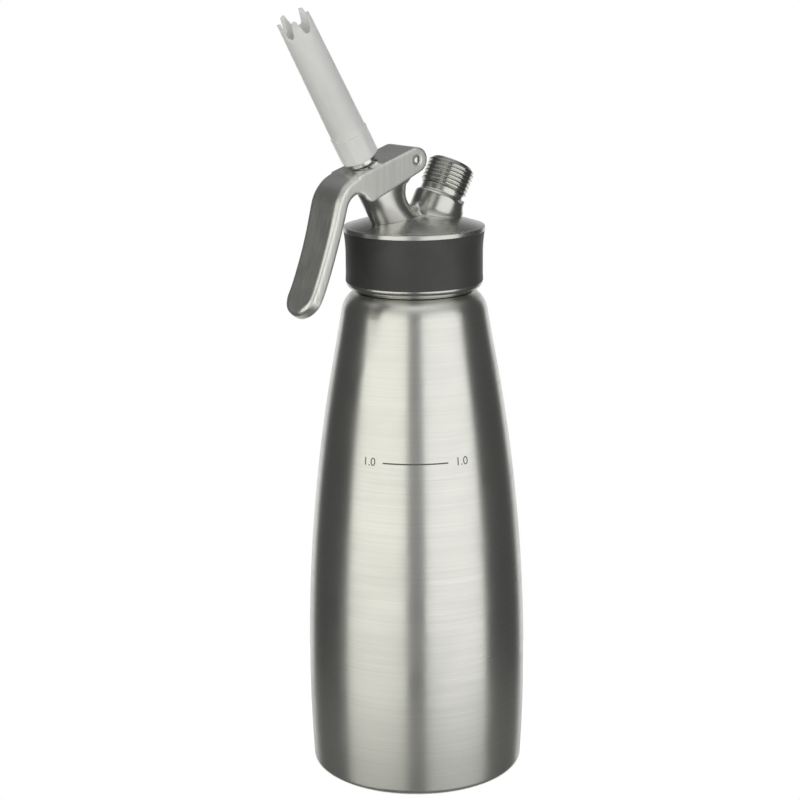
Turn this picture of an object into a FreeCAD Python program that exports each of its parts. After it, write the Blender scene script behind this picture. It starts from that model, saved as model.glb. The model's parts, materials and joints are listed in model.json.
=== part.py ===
import FreeCAD, Part
import math
import os
import Sketcher
from FreeCAD import Vector

# Cream whipper: a steel bottle, a screwed steel head with a spring valve, its lever and a plastic tip.
# Origin at the middle of the bottle's foot, +Z up, lever towards -X, gas port towards +X.
# The valve and the port are each turned about an axis that leans in the y = 0 plane.

# Millimetres and degrees. A rise is above the bottle's rim and a drop below it; a size named "stem"
# runs along the valve's leaning axis and one named "port" along the gas port's, both from their feet.
SIZES = {
    # Bottle, one drawn shell.
    "neck_rim_height": 240.5,
    "neck_radius": 24.6,
    "belly_radius": 49.2,
    "belly_height": 47.0,
    "side_arc_radius": 785.0,
    "bottle_wall": 1.1,
    "foot_rounding": 2.5,
    "foot_ring_width": 5.9,
    "dish_slope_width": 6.0,
    "dish_height": 3.0,
    "side_end_drop": 15.5,
    "shoulder_inset": 2.7,
    "shoulder_drop": 8.3,
    "shoulder_arc_radius": 12.0,
    "shoulder_step": 1.6,
    "neck_fillet": 2.0,
    # Head, one casting.
    "plate_rim_rise": 7.8,
    "plate_edge_height": 2.0,
    "plate_edge_rounding": 0.5,
    "plate_reach": 2.5,
    "dome_radius": 120.0,
    "band_height": 21.7,
    "skirt_wall": 3.4,
    "lip_reach": 1.4,
    "lip_land": 0.6,
    "lip_depth": 3.9,
    "lip_arc_radius": 9.0,
    "lip_foot_width": 0.5,
    "lip_gap": 0.3,
    "bore_clearance": 0.6,
    "bore_mouth_widening": 1.2,
    "bore_mouth_depth": 2.0,
    "gasket_thickness": 2.0,
    "gasket_clearance": 0.3,
    "gasket_width": 3.4,
    # Band, a silicone sleeve round the head.
    "band_wall": 1.55,
    "band_top_flare": 0.85,
    "band_flare_height": 10.3,
    # Valve tower.
    "tower_lean": 30.0,
    "tower_foot_drop": 11.2,
    "tower_wall": 1.8,
    "tower_top_stem": 45.0,
    "valve_seat_stem": 11.2,
    "stem_bore_radius": 4.05,
    "spring_pocket_clearance": 0.5,
    "spring_seat_stem": 38.0,
    "base_fillet": 1.0,
    # Ear that carries the lever's pin.
    "pin_offset": 6.0,
    "pin_rise": 37.5,
    "pin_radius": 1.5,
    "ear_radius": 3.1,
    "ear_clearance": 0.4,
    "ear_collar_gap": 0.6,
    "ear_valley_radius": 6.0,
    "ear_valley_offset": 3.85,
    "ear_valley_rise": 23.8,
    "ear_valley_angle": 42.0,
    "ear_foot_offset": 7.0,
    "ear_foot_rise": 14.5,
    # Gas port.
    "port_lean": 29.0,
    "port_foot_drop": 8.1,
    "port_top": 46.7,
    "port_wall": 2.6,
    "port_chamfer": 1.6,
    "port_thread_length": 12.1,
    "port_neck_undercut": 1.2,
    "port_neck_length": 3.6,
    "port_boss_step": 0.5,
    "port_boss_rounding": 1.5,
    "socket_radius": 8.0,
    "socket_depth": 8.2,
    "charger_seal_radius": 5.0,
    "charger_seal_height": 3.0,
    "gas_way_radius": 1.2,
    "check_chamber_radius": 3.0,
    "check_seat_port": 22.0,
    "check_boss_wall": 3.0,
    "check_boss_port": 10.5,
    "check_boss_length": 8.5,
    # Lever, a forked casting that turns about the pin.
    "lever_top_angle": 17.2,
    "lever_top_length": 32.0,
    "lever_plate": 1.9,
    "cheek_radius": 5.5,
    "cheek_wall": 1.5,
    "lever_width": 19.6,
    "arm_width": 18.3,
    "arm_thickness": 5.8,
    "bend_radius": 17.0,
    "arm_top_angle": 14.5,
    "arm_foot_angle": 23.0,
    "arm_arc_radius": 230.0,
    "arm_tip_angle": 36.0,
    "arm_tip_radius": 44.0,
    "arm_face_rounding": 1.8,
    "arm_back_rounding": 1.0,
    "arm_toe_radius": 4.0,
    "tongue_inset": 0.3,
    "bend_inner_radius": 8.1,
    "web_angle": 10.0,
    "web_foot_drop": 1.2,
    "cheek_bottom_angle": 22.0,
    "cheek_bottom_length": 27.5,
    "cheek_lobe_radius": 4.1,
    "pin_clearance": 0.05,
    "pin_recess_width": 0.45,
    "pin_recess_depth": 0.4,
    "slot_clearance": 0.6,
    "slot_front": 6.0,
    "spotface_widening": 2.4,
    "spotface_drop": 0.6,
    "pad_radius": 3.0,
    "pad_gap": 0.25,
    "pad_inset": 0.6,
    # Piston and what is screwed to it, along the valve's axis.
    "stem_clearance": 0.05,
    "disc_seat_width": 1.95,
    "disc_thickness": 2.2,
    "seal_thickness": 1.5,
    "rod_radius": 2.4,
    "relief_start": 25.0,
    "relief_length": 6.0,
    "relief_radius": 3.3,
    "stem_way_radius": 2.6,
    "cross_hole_radius": 1.3,
    "cross_hole_offset": 3.2,
    "stem_way_depth": 0.4,
    "o_ring_groove_offset": 2.0,
    "o_ring_groove_width": 1.3,
    "o_ring_section": 1.0,
    "collar_top": 50.8,
    "collar_thickness": 2.3,
    "collar_reach": 2.8,
    "collar_hub_wall": 0.4,
    "collar_hub_height": 1.8,
    "spring_wire": 1.0,
    "spring_radius": 5.2,
    "spring_turns": 4.0,
    "seat_ring_rise": 6.4,
    "seat_ring_thickness": 2.0,
    "seat_ring_width": 2.5,
    # Decorator tip with its threaded insert.
    "thread_clearance": 0.3,
    "tip_gap": 0.4,
    "tip_length": 68.2,
    "tip_collar_length": 12.0,
    "tip_collar_radius": 8.2,
    "tip_collar_step": 0.4,
    "tip_taper": 0.7,
    "tip_wall": 1.3,
    "tip_floor": 2.0,
    "tip_passage_radius": 3.2,
    "insert_wall": 1.9,
    "insert_inset": 0.8,
    "insert_top_inset": 0.6,
    "stem_end_inset": 1.0,
    "notch_depth": 7.0,
    "notch_top_half": 3.3,
    "notch_foot_half": 2.2,
    "tip_teeth": 5,
    # Charger seal, piercing pin and check valve, along the port's axis.
    "charger_seal_hole": 2.0,
    "pin_flange_thickness": 2.0,
    "pin_flange_clearance": 0.1,
    "piercer_radius": 1.2,
    "piercer_length": 4.6,
    "piercer_cone": 2.2,
    "piercer_point": 0.1,
    "piercer_hole_radius": 0.45,
    "poppet_clearance": 0.3,
    "poppet_length": 3.4,
    "poppet_taper": 0.5,
    "retainer_height": 3.0,
    "retainer_hole_radius": 1.0,
    "check_wire": 0.4,
    "check_spring_radius": 1.7,
    "check_spring_turns": 4.0,
}


RIGHT_ANGLE = 90
TOUCHING = 0.01
NEARLY_ONE = 0.99


class Size:
    """A number together with the sheet formula that gives it, so that both stay the same."""

    def __init__(self, value, formula):
        self.value = value
        self.formula = formula

    def joined(self, other, sign, value):
        text = other.formula if isinstance(other, Size) else repr(other)
        return Size(value, f"({self.formula} {sign} {text})")

    def __add__(self, other):
        return self.joined(other, "+", self.value + number(other))

    def __sub__(self, other):
        return self.joined(other, "-", self.value - number(other))

    def __mul__(self, other):
        return self.joined(other, "*", self.value * number(other))

    def __truediv__(self, other):
        return self.joined(other, "/", self.value / number(other))

    def __neg__(self):
        return Size(-self.value, f"(-1 * {self.formula})")


def number(size):
    return size.value if isinstance(size, Size) else size


def sine(angle):
    return Size(math.sin(math.radians(angle.value)), f"sin({angle.formula})")


def cosine(angle):
    return Size(math.cos(math.radians(angle.value)), f"cos({angle.formula})")


def tangent(angle):
    return Size(math.tan(math.radians(angle.value)), f"tan({angle.formula})")


def root(size):
    return Size(math.sqrt(size.value), f"sqrt({size.formula})")


def add_bottle_sizes(s):
    """Heights and radii of the bottle and the head that follow from the driving sizes."""
    rim = s["neck_rim_height"]
    s["ceiling_height"] = rim + s["gasket_thickness"]
    s["plate_rim_height"] = rim + s["plate_rim_rise"]
    s["band_top_height"] = s["plate_rim_height"] - s["plate_edge_height"]
    s["band_waist_height"] = s["band_top_height"] - s["band_flare_height"]
    s["band_bottom_height"] = s["band_top_height"] - s["band_height"]
    s["lip_edge_height"] = s["band_bottom_height"] - s["lip_land"]
    s["lip_bottom_height"] = s["lip_edge_height"] - s["lip_depth"]
    s["shoulder_top_height"] = s["lip_bottom_height"] - s["lip_gap"]
    s["shoulder_side_height"] = s["shoulder_top_height"] - s["shoulder_drop"]
    s["side_end_height"] = s["shoulder_side_height"] - s["side_end_drop"]
    s["neck_foot_height"] = s["shoulder_top_height"] + s["neck_fillet"]
    s["foot_side_radius"] = side_radius(s, s["foot_rounding"])
    s["foot_inner_radius"] = s["foot_side_radius"] - s["foot_ring_width"]
    s["dish_radius"] = s["foot_inner_radius"] - s["dish_slope_width"]
    s["side_end_radius"] = side_radius(s, s["side_end_height"])
    s["shoulder_side_radius"] = s["side_end_radius"] - s["shoulder_inset"]
    s["shoulder_top_radius"] = s["neck_radius"] + s["shoulder_step"]
    s["skirt_bore_radius"] = s["neck_radius"] + s["bore_clearance"]
    s["bore_mouth_radius"] = s["skirt_bore_radius"] + s["bore_mouth_widening"]
    s["lip_foot_radius"] = s["bore_mouth_radius"] + s["lip_foot_width"]
    s["band_seat_radius"] = s["skirt_bore_radius"] + s["skirt_wall"]
    s["lip_radius"] = s["band_seat_radius"] + s["lip_reach"]
    s["plate_radius"] = s["band_seat_radius"] + s["plate_reach"]
    s["band_waist_radius"] = s["band_seat_radius"] + s["band_wall"]
    s["band_top_radius"] = s["band_waist_radius"] + s["band_top_flare"]


def add_stem_sizes(s):
    """Places along the valve's axis, from the piston's disc up to the tip's end."""
    rim = s["neck_rim_height"]
    s["pin_height"] = rim + s["pin_rise"]
    s["tower_foot_height"] = rim - s["tower_foot_drop"]
    s["stem_radius"] = s["stem_bore_radius"] - s["stem_clearance"]
    s["spring_pocket_radius"] = s["spring_radius"] + s["spring_wire"] / 2 + s["spring_pocket_clearance"]
    s["tower_radius"] = s["spring_pocket_radius"] + s["tower_wall"]
    s["disc_radius"] = s["stem_bore_radius"] + s["disc_seat_width"]
    s["disc_top"] = s["valve_seat_stem"] - s["seal_thickness"]
    s["relief_end"] = s["relief_start"] + s["relief_length"]
    s["cross_hole_stem"] = s["relief_start"] + s["cross_hole_offset"]
    s["stem_way_start"] = s["cross_hole_stem"] - s["cross_hole_radius"] - s["stem_way_depth"]
    s["o_ring_groove_start"] = s["relief_end"] + s["o_ring_groove_offset"]
    s["o_ring_groove_end"] = s["o_ring_groove_start"] + s["o_ring_groove_width"]
    s["collar_bottom"] = s["collar_top"] - s["collar_thickness"]
    s["collar_radius"] = s["stem_radius"] + s["collar_reach"]
    s["collar_hub_radius"] = s["stem_radius"] + s["collar_hub_wall"]
    s["seat_ring_bottom"] = s["collar_top"] + s["seat_ring_rise"]
    s["seat_ring_top"] = s["seat_ring_bottom"] + s["seat_ring_thickness"]
    s["seat_ring_radius"] = s["stem_radius"] + s["seat_ring_width"]
    s["tip_bottom"] = s["seat_ring_top"] + s["tip_gap"]
    s["tip_step"] = s["tip_bottom"] + s["tip_collar_length"]
    s["tip_top"] = s["tip_bottom"] + s["tip_length"]
    s["tip_base_radius"] = s["tip_collar_radius"] - s["tip_collar_step"]
    s["tip_end_radius"] = s["tip_base_radius"] - s["tip_taper"]
    s["insert_bore_radius"] = s["stem_radius"] + s["thread_clearance"]
    s["insert_radius"] = s["insert_bore_radius"] + s["insert_wall"]
    s["insert_bottom"] = s["tip_bottom"] + s["insert_inset"]
    s["insert_top"] = s["tip_step"] - s["insert_top_inset"]
    s["stem_top"] = s["insert_top"] - s["stem_end_inset"]
    s["tip_floor_stem"] = s["insert_top"] + s["tip_floor"]


def add_port_sizes(s):
    """Places along the gas port's axis, and radii about it."""
    s["port_foot_height"] = s["neck_rim_height"] - s["port_foot_drop"]
    s["port_thread_start"] = s["port_top"] - s["port_thread_length"]
    s["port_boss_top"] = s["port_thread_start"] - s["port_neck_length"]
    s["port_thread_radius"] = s["socket_radius"] + s["port_wall"]
    s["port_neck_radius"] = s["port_thread_radius"] - s["port_neck_undercut"]
    s["port_boss_radius"] = s["port_thread_radius"] + s["port_boss_step"]
    s["socket_floor"] = s["port_top"] - s["socket_depth"]
    s["pin_flange_top"] = s["socket_floor"] - s["charger_seal_height"]
    s["pin_flange_bed"] = s["pin_flange_top"] - s["pin_flange_thickness"]
    s["pin_flange_radius"] = s["charger_seal_radius"] - s["pin_flange_clearance"]
    s["piercer_tip"] = s["pin_flange_bed"] + s["piercer_length"]
    s["check_boss_radius"] = s["check_chamber_radius"] + s["check_boss_wall"]
    s["check_boss_end"] = s["check_boss_port"] + s["check_boss_length"]
    s["retainer_top"] = s["check_boss_port"] + s["retainer_height"]
    s["poppet_bed"] = s["check_seat_port"] - s["poppet_length"]
    s["poppet_radius"] = s["check_chamber_radius"] - s["poppet_clearance"]


def add_lever_sizes(s):
    """Widths across the lever, and where its pads and its slot stand on the valve's axis."""
    s["channel_width"] = s["lever_width"] - s["cheek_wall"] * 2
    s["ear_width"] = s["channel_width"] - s["ear_clearance"] * 2
    s["slot_half_width"] = s["stem_radius"] + s["slot_clearance"]
    s["pad_inner_half"] = s["slot_half_width"] + s["pad_inset"]
    s["pad_stem"] = s["collar_top"] + s["pad_gap"] + s["pad_radius"]
    s["spotface_radius"] = s["tip_collar_radius"] + s["spotface_widening"]
    s["spotface_stem"] = s["seat_ring_bottom"] - s["spotface_drop"]
    s["pin_recess_radius"] = s["pin_radius"] + s["pin_recess_width"]


def fill_sheet(doc):
    """Writes every driving size to the sheet and returns them by name."""
    sheet = doc.addObject("Spreadsheet::Sheet", "Sizes")
    sizes = {}
    for row, (name, value) in enumerate(SIZES.items(), start=1):
        sheet.set(f"A{row}", name.replace("_", " "))
        sheet.set(f"B{row}", str(value))
        sheet.setAlias(f"B{row}", name)
        sizes[name] = Size(float(value), f"Sizes.{name}")
    doc.recompute()
    add_bottle_sizes(sizes)
    add_stem_sizes(sizes)
    add_port_sizes(sizes)
    add_lever_sizes(sizes)
    return sizes


def bind(item, prop, size):
    """Ties a property to its formula; a plain number is just set."""
    if isinstance(size, Size):
        item.setExpression(prop, size.formula)
    else:
        setattr(item, prop, size)


def new_body(doc, name):
    body = doc.addObject("PartDesign::Body", name)
    body.Label = name
    return body


def lean(body, height, angle):
    """Stands the body's Z axis at the height on the bottle's axis, leaning by the angle towards +X."""
    body.Placement = FreeCAD.Placement(
        Vector(0, 0, height.value), FreeCAD.Rotation(Vector(0, 1, 0), angle.value))
    body.setExpression("Placement.Base.z", height.formula)
    body.setExpression("Placement.Rotation.Angle", angle.formula)


def new_sketch(body, plane, name):
    """Sketch on one of the body's own origin planes."""
    sketch = body.newObject("Sketcher::SketchObject", name)
    role = f"{plane}_Plane"
    face = [item for item in body.Origin.OriginFeatures if item.Role == role][0]
    sketch.AttachmentSupport = [(face, "")]
    sketch.MapMode = "FlatFace"
    return sketch


def shift_sketch(sketch, axis, offsets, turn_axis=None, turn=None):
    """Moves the sketch along its plane's axes, and turns it about one of them."""
    rotation = FreeCAD.Rotation()
    if turn is not None:
        rotation = FreeCAD.Rotation(turn_axis, turn.value)
    base = Vector(*[number(offset) for offset in offsets])
    sketch.AttachmentOffset = FreeCAD.Placement(base, rotation)
    for letter, offset in zip(axis, offsets):
        if isinstance(offset, Size):
            sketch.setExpression(f"AttachmentOffset.Base.{letter}", offset.formula)
    if turn is not None:
        sketch.setExpression("AttachmentOffset.Rotation.Angle", turn.formula)


def lean_sketch(sketch, height, angle):
    """Turns a sketch on the XZ plane so that its upright axis leans by the angle towards -X."""
    shift_sketch(sketch, "xyz", (0, height, 0), Vector(0, 0, 1), angle)


def hold_point(sketch, line, end, across, along):
    """Places one end of a line by its distance from the sketch's two axes."""
    origin, upright, level = -1, -2, -1
    for kind, size, axis in (("DistanceX", across, upright), ("DistanceY", along, level)):
        if isinstance(size, Size):
            index = sketch.addConstraint(
                Sketcher.Constraint(kind, origin, 1, line, end, size.value))
            sketch.setExpression(f"Constraints[{index}]", size.formula)
        else:
            sketch.addConstraint(Sketcher.Constraint("PointOnObject", line, end, axis))


def arc_between(start, stop, radius, side):
    """Arc from start to stop with its centre on the left of the way (side 1) or on the right (-1)."""
    chord = stop - start
    reach = math.sqrt(radius ** 2 - (chord.Length / 2) ** 2)
    leftward = Vector(-chord.y, chord.x, 0).normalize()
    centre = (start + stop) / 2 + leftward * reach * side
    first, last = (start, stop) if side > 0 else (stop, start)
    angles = [math.atan2(end.y - centre.y, end.x - centre.x) for end in (first, last)]
    return Part.ArcOfCircle(Part.Circle(centre, Vector(0, 0, 1), radius), *angles)


def draw_outline(sketch, corners):
    """Closed outline. A corner is (across, along), with (radius, side) after it where an arc leaves it."""
    points = [Vector(number(corner[0]), number(corner[1]), 0) for corner in corners]
    runs = []
    for index, corner in enumerate(corners):
        start, stop = points[index], points[(index + 1) % len(points)]
        if len(corner) == 2:
            runs.append((sketch.addGeometry(Part.LineSegment(start, stop)), 1, 2))
            continue
        radius, side = corner[2:]
        arc = sketch.addGeometry(arc_between(start, stop, radius.value, side))
        runs.append((arc, 1, 2) if side > 0 else (arc, 2, 1))
    for index, (run, start, stop) in enumerate(runs):
        following = runs[(index + 1) % len(runs)]
        sketch.addConstraint(Sketcher.Constraint("Coincident", run, stop, following[0], following[1]))
        hold_point(sketch, run, start, corners[index][0], corners[index][1])
    for (run, start, stop), corner in zip(runs, corners):
        if len(corner) > 2:
            radius = corner[2]
            index = sketch.addConstraint(Sketcher.Constraint("Radius", run, radius.value))
            sketch.setExpression(f"Constraints[{index}]", radius.formula)


def draw_circle(sketch, across, along, radius):
    middle = Vector(number(across), number(along), 0)
    circle = sketch.addGeometry(Part.Circle(middle, Vector(0, 0, 1), radius.value))
    hold_point(sketch, circle, 3, across, along)
    index = sketch.addConstraint(Sketcher.Constraint("Radius", circle, radius.value))
    sketch.setExpression(f"Constraints[{index}]", radius.formula)


def draw_slot(sketch, back, front, half):
    """Rounded slot along the sketch's level axis, from -back to front, each end two quarter arcs."""
    draw_outline(sketch, [
        (half - back, -half), (front - half, -half, half, 1), (front, 0, half, 1),
        (front - half, half), (half - back, half, half, 1), (-back, 0, half, 1)])


def add_revolution(body, sketch, name):
    """Turns the sketch a full turn about its own upright axis."""
    feature = body.newObject("PartDesign::Revolution", name)
    feature.Profile = sketch
    feature.ReferenceAxis = (sketch, ["V_Axis"])
    feature.Angle = 360
    return feature


def cut_revolution(body, sketch, name):
    feature = body.newObject("PartDesign::Groove", name)
    feature.Profile = sketch
    feature.ReferenceAxis = (sketch, ["V_Axis"])
    feature.Angle = 360
    return feature


def add_pad(body, sketch, name, length, both_ways=True):
    feature = body.newObject("PartDesign::Pad", name)
    feature.Profile = sketch
    feature.Midplane = both_ways
    bind(feature, "Length", length)
    return feature


def cut_pocket(body, sketch, name, length, both_ways=False, turned=False):
    feature = body.newObject("PartDesign::Pocket", name)
    feature.Profile = sketch
    feature.Midplane = both_ways
    feature.Reversed = turned
    bind(feature, "Length", length)
    return feature


def edges_where(feature, test):
    """Names of the feature's edges whose middle passes the test."""
    names = []
    for index, edge in enumerate(feature.Shape.Edges, start=1):
        middle = edge.valueAt((edge.FirstParameter + edge.LastParameter) / 2)
        if test(edge, middle):
            names.append(f"Edge{index}")
    return names


def add_fillet(body, feature, name, radius, test):
    rounding = body.newObject("PartDesign::Fillet", name)
    rounding.Base = (feature, edges_where(feature, test))
    bind(rounding, "Radius", radius)
    return rounding


def side_radius(s, height):
    """Outer radius of the bottle's long side arc at a height."""
    rise = height - s["belly_height"]
    reach = root(s["side_arc_radius"] * s["side_arc_radius"] - rise * rise)
    return s["belly_radius"] - s["side_arc_radius"] + reach


def make_bottle(doc, s):
    """Shell with a dished foot, one long side arc, a round shoulder and a straight neck."""
    body = new_body(doc, "bottle")
    wall = s["bottle_wall"]
    foot_side = s["foot_side_radius"]
    side_end = s["side_end_radius"]
    outside = new_sketch(body, "XZ", "bottle_outside")
    draw_outline(outside, [
        (0, s["dish_height"]),
        (s["dish_radius"], s["dish_height"]),
        (s["foot_inner_radius"], 0),
        (foot_side - s["foot_rounding"], 0, s["foot_rounding"], 1),
        (foot_side, s["foot_rounding"], s["side_arc_radius"], 1),
        (side_end, s["side_end_height"]),
        (s["shoulder_side_radius"], s["shoulder_side_height"], s["shoulder_arc_radius"], 1),
        (s["shoulder_top_radius"], s["shoulder_top_height"], s["neck_fillet"], -1),
        (s["neck_radius"], s["neck_foot_height"]),
        (s["neck_radius"], s["neck_rim_height"]),
        (0, s["neck_rim_height"])])
    add_revolution(body, outside, "bottle_blank")
    inside = new_sketch(body, "XZ", "bottle_inside")
    draw_outline(inside, [
        (0, s["dish_height"] + wall),
        (s["dish_radius"] + wall / 2, s["dish_height"] + wall),
        (s["foot_inner_radius"] + wall / 2, wall),
        (foot_side - s["foot_rounding"], wall, s["foot_rounding"] - wall, 1),
        (foot_side - wall, s["foot_rounding"], s["side_arc_radius"], 1),
        (side_end - wall, s["side_end_height"]),
        (s["shoulder_side_radius"] - wall, s["shoulder_side_height"],
         s["shoulder_arc_radius"] - wall, 1),
        (s["shoulder_top_radius"] - wall, s["shoulder_top_height"] - wall,
         s["neck_fillet"] + wall, -1),
        (s["neck_radius"] - wall, s["neck_foot_height"]),
        (s["neck_radius"] - wall, s["neck_rim_height"]),
        (0, s["neck_rim_height"])])
    cut_revolution(body, inside, "bottle_hollow")
    return body


def add_head_shell(body, s):
    """Domed plate, skirt with a seat for the band, and round lip, turned about the bottle's axis."""
    bore = s["skirt_bore_radius"]
    rim = s["plate_radius"] - s["plate_edge_rounding"]
    reach = root(s["dome_radius"] * s["dome_radius"] - rim * rim)
    apex = s["plate_rim_height"] + s["dome_radius"] - reach
    shell = new_sketch(body, "XZ", "head_shell")
    draw_outline(shell, [
        (0, s["ceiling_height"]),
        (bore, s["ceiling_height"]),
        (bore, s["lip_bottom_height"] + s["bore_mouth_depth"]),
        (s["bore_mouth_radius"], s["lip_bottom_height"]),
        (s["lip_foot_radius"], s["lip_bottom_height"], s["lip_arc_radius"], 1),
        (s["lip_radius"], s["lip_edge_height"]),
        (s["lip_radius"], s["band_bottom_height"]),
        (s["band_seat_radius"], s["band_bottom_height"]),
        (s["band_seat_radius"], s["band_top_height"]),
        (s["plate_radius"], s["band_top_height"]),
        (s["plate_radius"], s["plate_rim_height"] - s["plate_edge_rounding"],
         s["plate_edge_rounding"], 1),
        (rim, s["plate_rim_height"], s["dome_radius"], 1),
        (0, apex)])
    return add_revolution(body, shell, "head_casting")


def add_tower(body, s):
    """Leaning column of the valve, from its seat inside the head to the top of the spring pocket."""
    tower = new_sketch(body, "XZ", "tower_profile")
    lean_sketch(tower, s["tower_foot_height"], s["tower_lean"])
    draw_outline(tower, ring(0, s["tower_radius"], s["valve_seat_stem"], s["tower_top_stem"]))
    add_revolution(body, tower, "tower")


def add_ear(body, s):
    """Web behind the tower that rises to the lever's pin, with a round valley towards the port."""
    ear = new_sketch(body, "XZ", "ear_profile")
    lean_cos, lean_sin = cosine(s["tower_lean"]), sine(s["tower_lean"])
    top = s["tower_top_stem"]
    beside = s["collar_radius"] + s["ear_collar_gap"]
    top_across = beside * lean_cos - top * lean_sin
    top_along = s["tower_foot_height"] + top * lean_cos + beside * lean_sin
    low = s["spring_seat_stem"] - s["tower_radius"]
    radius = s["ear_radius"]
    valley = s["ear_valley_radius"]
    valley_height = s["neck_rim_height"] + s["ear_valley_rise"]
    valley_across = -s["ear_valley_offset"] - valley * cosine(s["ear_valley_angle"])
    valley_half = valley * sine(s["ear_valley_angle"])
    draw_outline(ear, [
        (-s["pin_offset"] + radius, s["pin_height"], radius, 1),
        (-s["pin_offset"], s["pin_height"] + radius, radius, 1),
        (-s["pin_offset"] - radius * lean_cos, s["pin_height"] + radius * lean_sin),
        (top_across, top_along),
        (-(low * lean_sin), s["tower_foot_height"] + low * lean_cos),
        (-s["ear_foot_offset"], s["neck_rim_height"] + s["ear_foot_rise"]),
        (valley_across, valley_height - valley_half, valley, -1),
        (valley_across, valley_height + valley_half)])
    add_pad(body, ear, "ear", s["ear_width"])


def add_port(body, s):
    """Leaning gas port: boss with a round shoulder, neck and threaded end, and the valve's boss inside."""
    port = new_sketch(body, "XZ", "port_profile")
    lean_sketch(port, s["port_foot_height"], -s["port_lean"])
    rounding = s["port_boss_rounding"]
    draw_outline(port, [
        (0, s["check_boss_port"]),
        (s["check_boss_radius"], s["check_boss_port"]),
        (s["check_boss_radius"], s["check_boss_end"]),
        (s["port_boss_radius"], s["check_boss_end"]),
        (s["port_boss_radius"], s["port_boss_top"] - rounding, rounding, 1),
        (s["port_boss_radius"] - rounding, s["port_boss_top"]),
        (s["port_neck_radius"], s["port_boss_top"]),
        (s["port_neck_radius"], s["port_thread_start"]),
        (s["port_thread_radius"], s["port_thread_start"]),
        (s["port_thread_radius"], s["port_top"] - s["port_chamfer"]),
        (s["port_thread_radius"] - s["port_chamfer"], s["port_top"]),
        (0, s["port_top"])])
    return add_revolution(body, port, "gas_port")


def cut_valve_bore(body, s):
    """Bore that the piston slides in, with the wider spring pocket above it."""
    bore = new_sketch(body, "XZ", "valve_bore_profile")
    lean_sketch(bore, s["tower_foot_height"], s["tower_lean"])
    below = s["valve_seat_stem"] - s["tower_radius"]
    above = s["stem_top"]
    draw_outline(bore, [
        (0, below),
        (s["stem_bore_radius"], below),
        (s["stem_bore_radius"], s["spring_seat_stem"]),
        (s["spring_pocket_radius"], s["spring_seat_stem"]),
        (s["spring_pocket_radius"], above),
        (0, above)])
    cut_revolution(body, bore, "valve_bore")


def cut_gas_way(body, s):
    """Charger socket, seal bed, gas passage and check valve chamber, on the port's axis."""
    way = new_sketch(body, "XZ", "gas_way_profile")
    lean_sketch(way, s["port_foot_height"], -s["port_lean"])
    below = s["check_boss_port"] - s["check_chamber_radius"]
    draw_outline(way, [
        (0, below),
        (s["check_chamber_radius"], below),
        (s["check_chamber_radius"], s["check_seat_port"]),
        (s["gas_way_radius"], s["check_seat_port"]),
        (s["gas_way_radius"], s["pin_flange_bed"]),
        (s["charger_seal_radius"], s["pin_flange_bed"]),
        (s["charger_seal_radius"], s["socket_floor"]),
        (s["socket_radius"], s["socket_floor"]),
        (s["socket_radius"], s["port_top"]),
        (0, s["port_top"])])
    cut_revolution(body, way, "gas_way")


def round_bases(body, casting, s):
    """Fillets where the tower, the ear and the port rise from the domed plate."""
    plate = s["plate_rim_height"].value
    rim = s["plate_radius"].value - s["plate_edge_rounding"].value - s["base_fillet"].value
    dome = max((face for face in casting.Shape.Faces if face.CenterOfMass.z > plate),
               key=lambda face: face.Area)
    casting_shape = body.Tip.Shape

    def on_dome(edge, middle):
        seam = len(casting_shape.ancestorsOfType(edge, Part.Face)) < 2
        inside = math.hypot(middle.x, middle.y) < rim
        return not seam and inside and dome.distToShape(Part.Vertex(middle))[0] < TOUCHING

    add_fillet(body, body.Tip, "base_fillets", s["base_fillet"], on_dome)


def make_head(doc, s):
    body = new_body(doc, "head")
    casting = add_head_shell(body, s)
    add_tower(body, s)
    add_ear(body, s)
    add_port(body, s)
    doc.recompute()
    round_bases(body, casting, s)
    cut_valve_bore(body, s)
    cut_gas_way(body, s)
    hole = new_sketch(body, "XZ", "ear_hole")
    draw_circle(hole, -s["pin_offset"], s["pin_height"], s["pin_radius"])
    cut_pocket(body, hole, "pin_hole", s["lever_width"], both_ways=True)
    return body


def make_turned(doc, name, corners, height=None, angle=None):
    """Body of one turned outline, on a leaning axis where a height and an angle are given."""
    body = new_body(doc, name)
    if height is not None:
        lean(body, height, angle)
    profile = new_sketch(body, "XZ", f"{name}_profile")
    draw_outline(profile, corners)
    add_revolution(body, profile, f"{name}_turned")
    return body


def make_band(doc, s):
    """Sleeve, straight below and hollowed out to a flare under the plate."""
    reach = s["band_top_height"] - s["band_waist_height"]
    step = s["band_top_radius"] - s["band_waist_radius"]
    hollow = (reach * reach + step * step) / (step * 2)
    return make_turned(doc, "grip_band", [
        (s["band_seat_radius"], s["band_bottom_height"]),
        (s["band_waist_radius"], s["band_bottom_height"]),
        (s["band_waist_radius"], s["band_waist_height"], hollow, -1),
        (s["band_top_radius"], s["band_top_height"]),
        (s["band_seat_radius"], s["band_top_height"])])


def make_gasket(doc, s):
    outer = s["skirt_bore_radius"] - s["gasket_clearance"]
    inner = outer - s["gasket_width"]
    return make_turned(doc, "head_gasket", ring(
        inner, outer, s["neck_rim_height"], s["ceiling_height"]))


def make_on_stem(doc, s, name, corners):
    return make_turned(doc, name, corners, s["tower_foot_height"], -s["tower_lean"])


def make_on_port(doc, s, name, corners):
    return make_turned(doc, name, corners, s["port_foot_height"], s["port_lean"])


def ring(inner, outer, bottom, top):
    return [(inner, bottom), (outer, bottom), (outer, top), (inner, top)]


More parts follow.
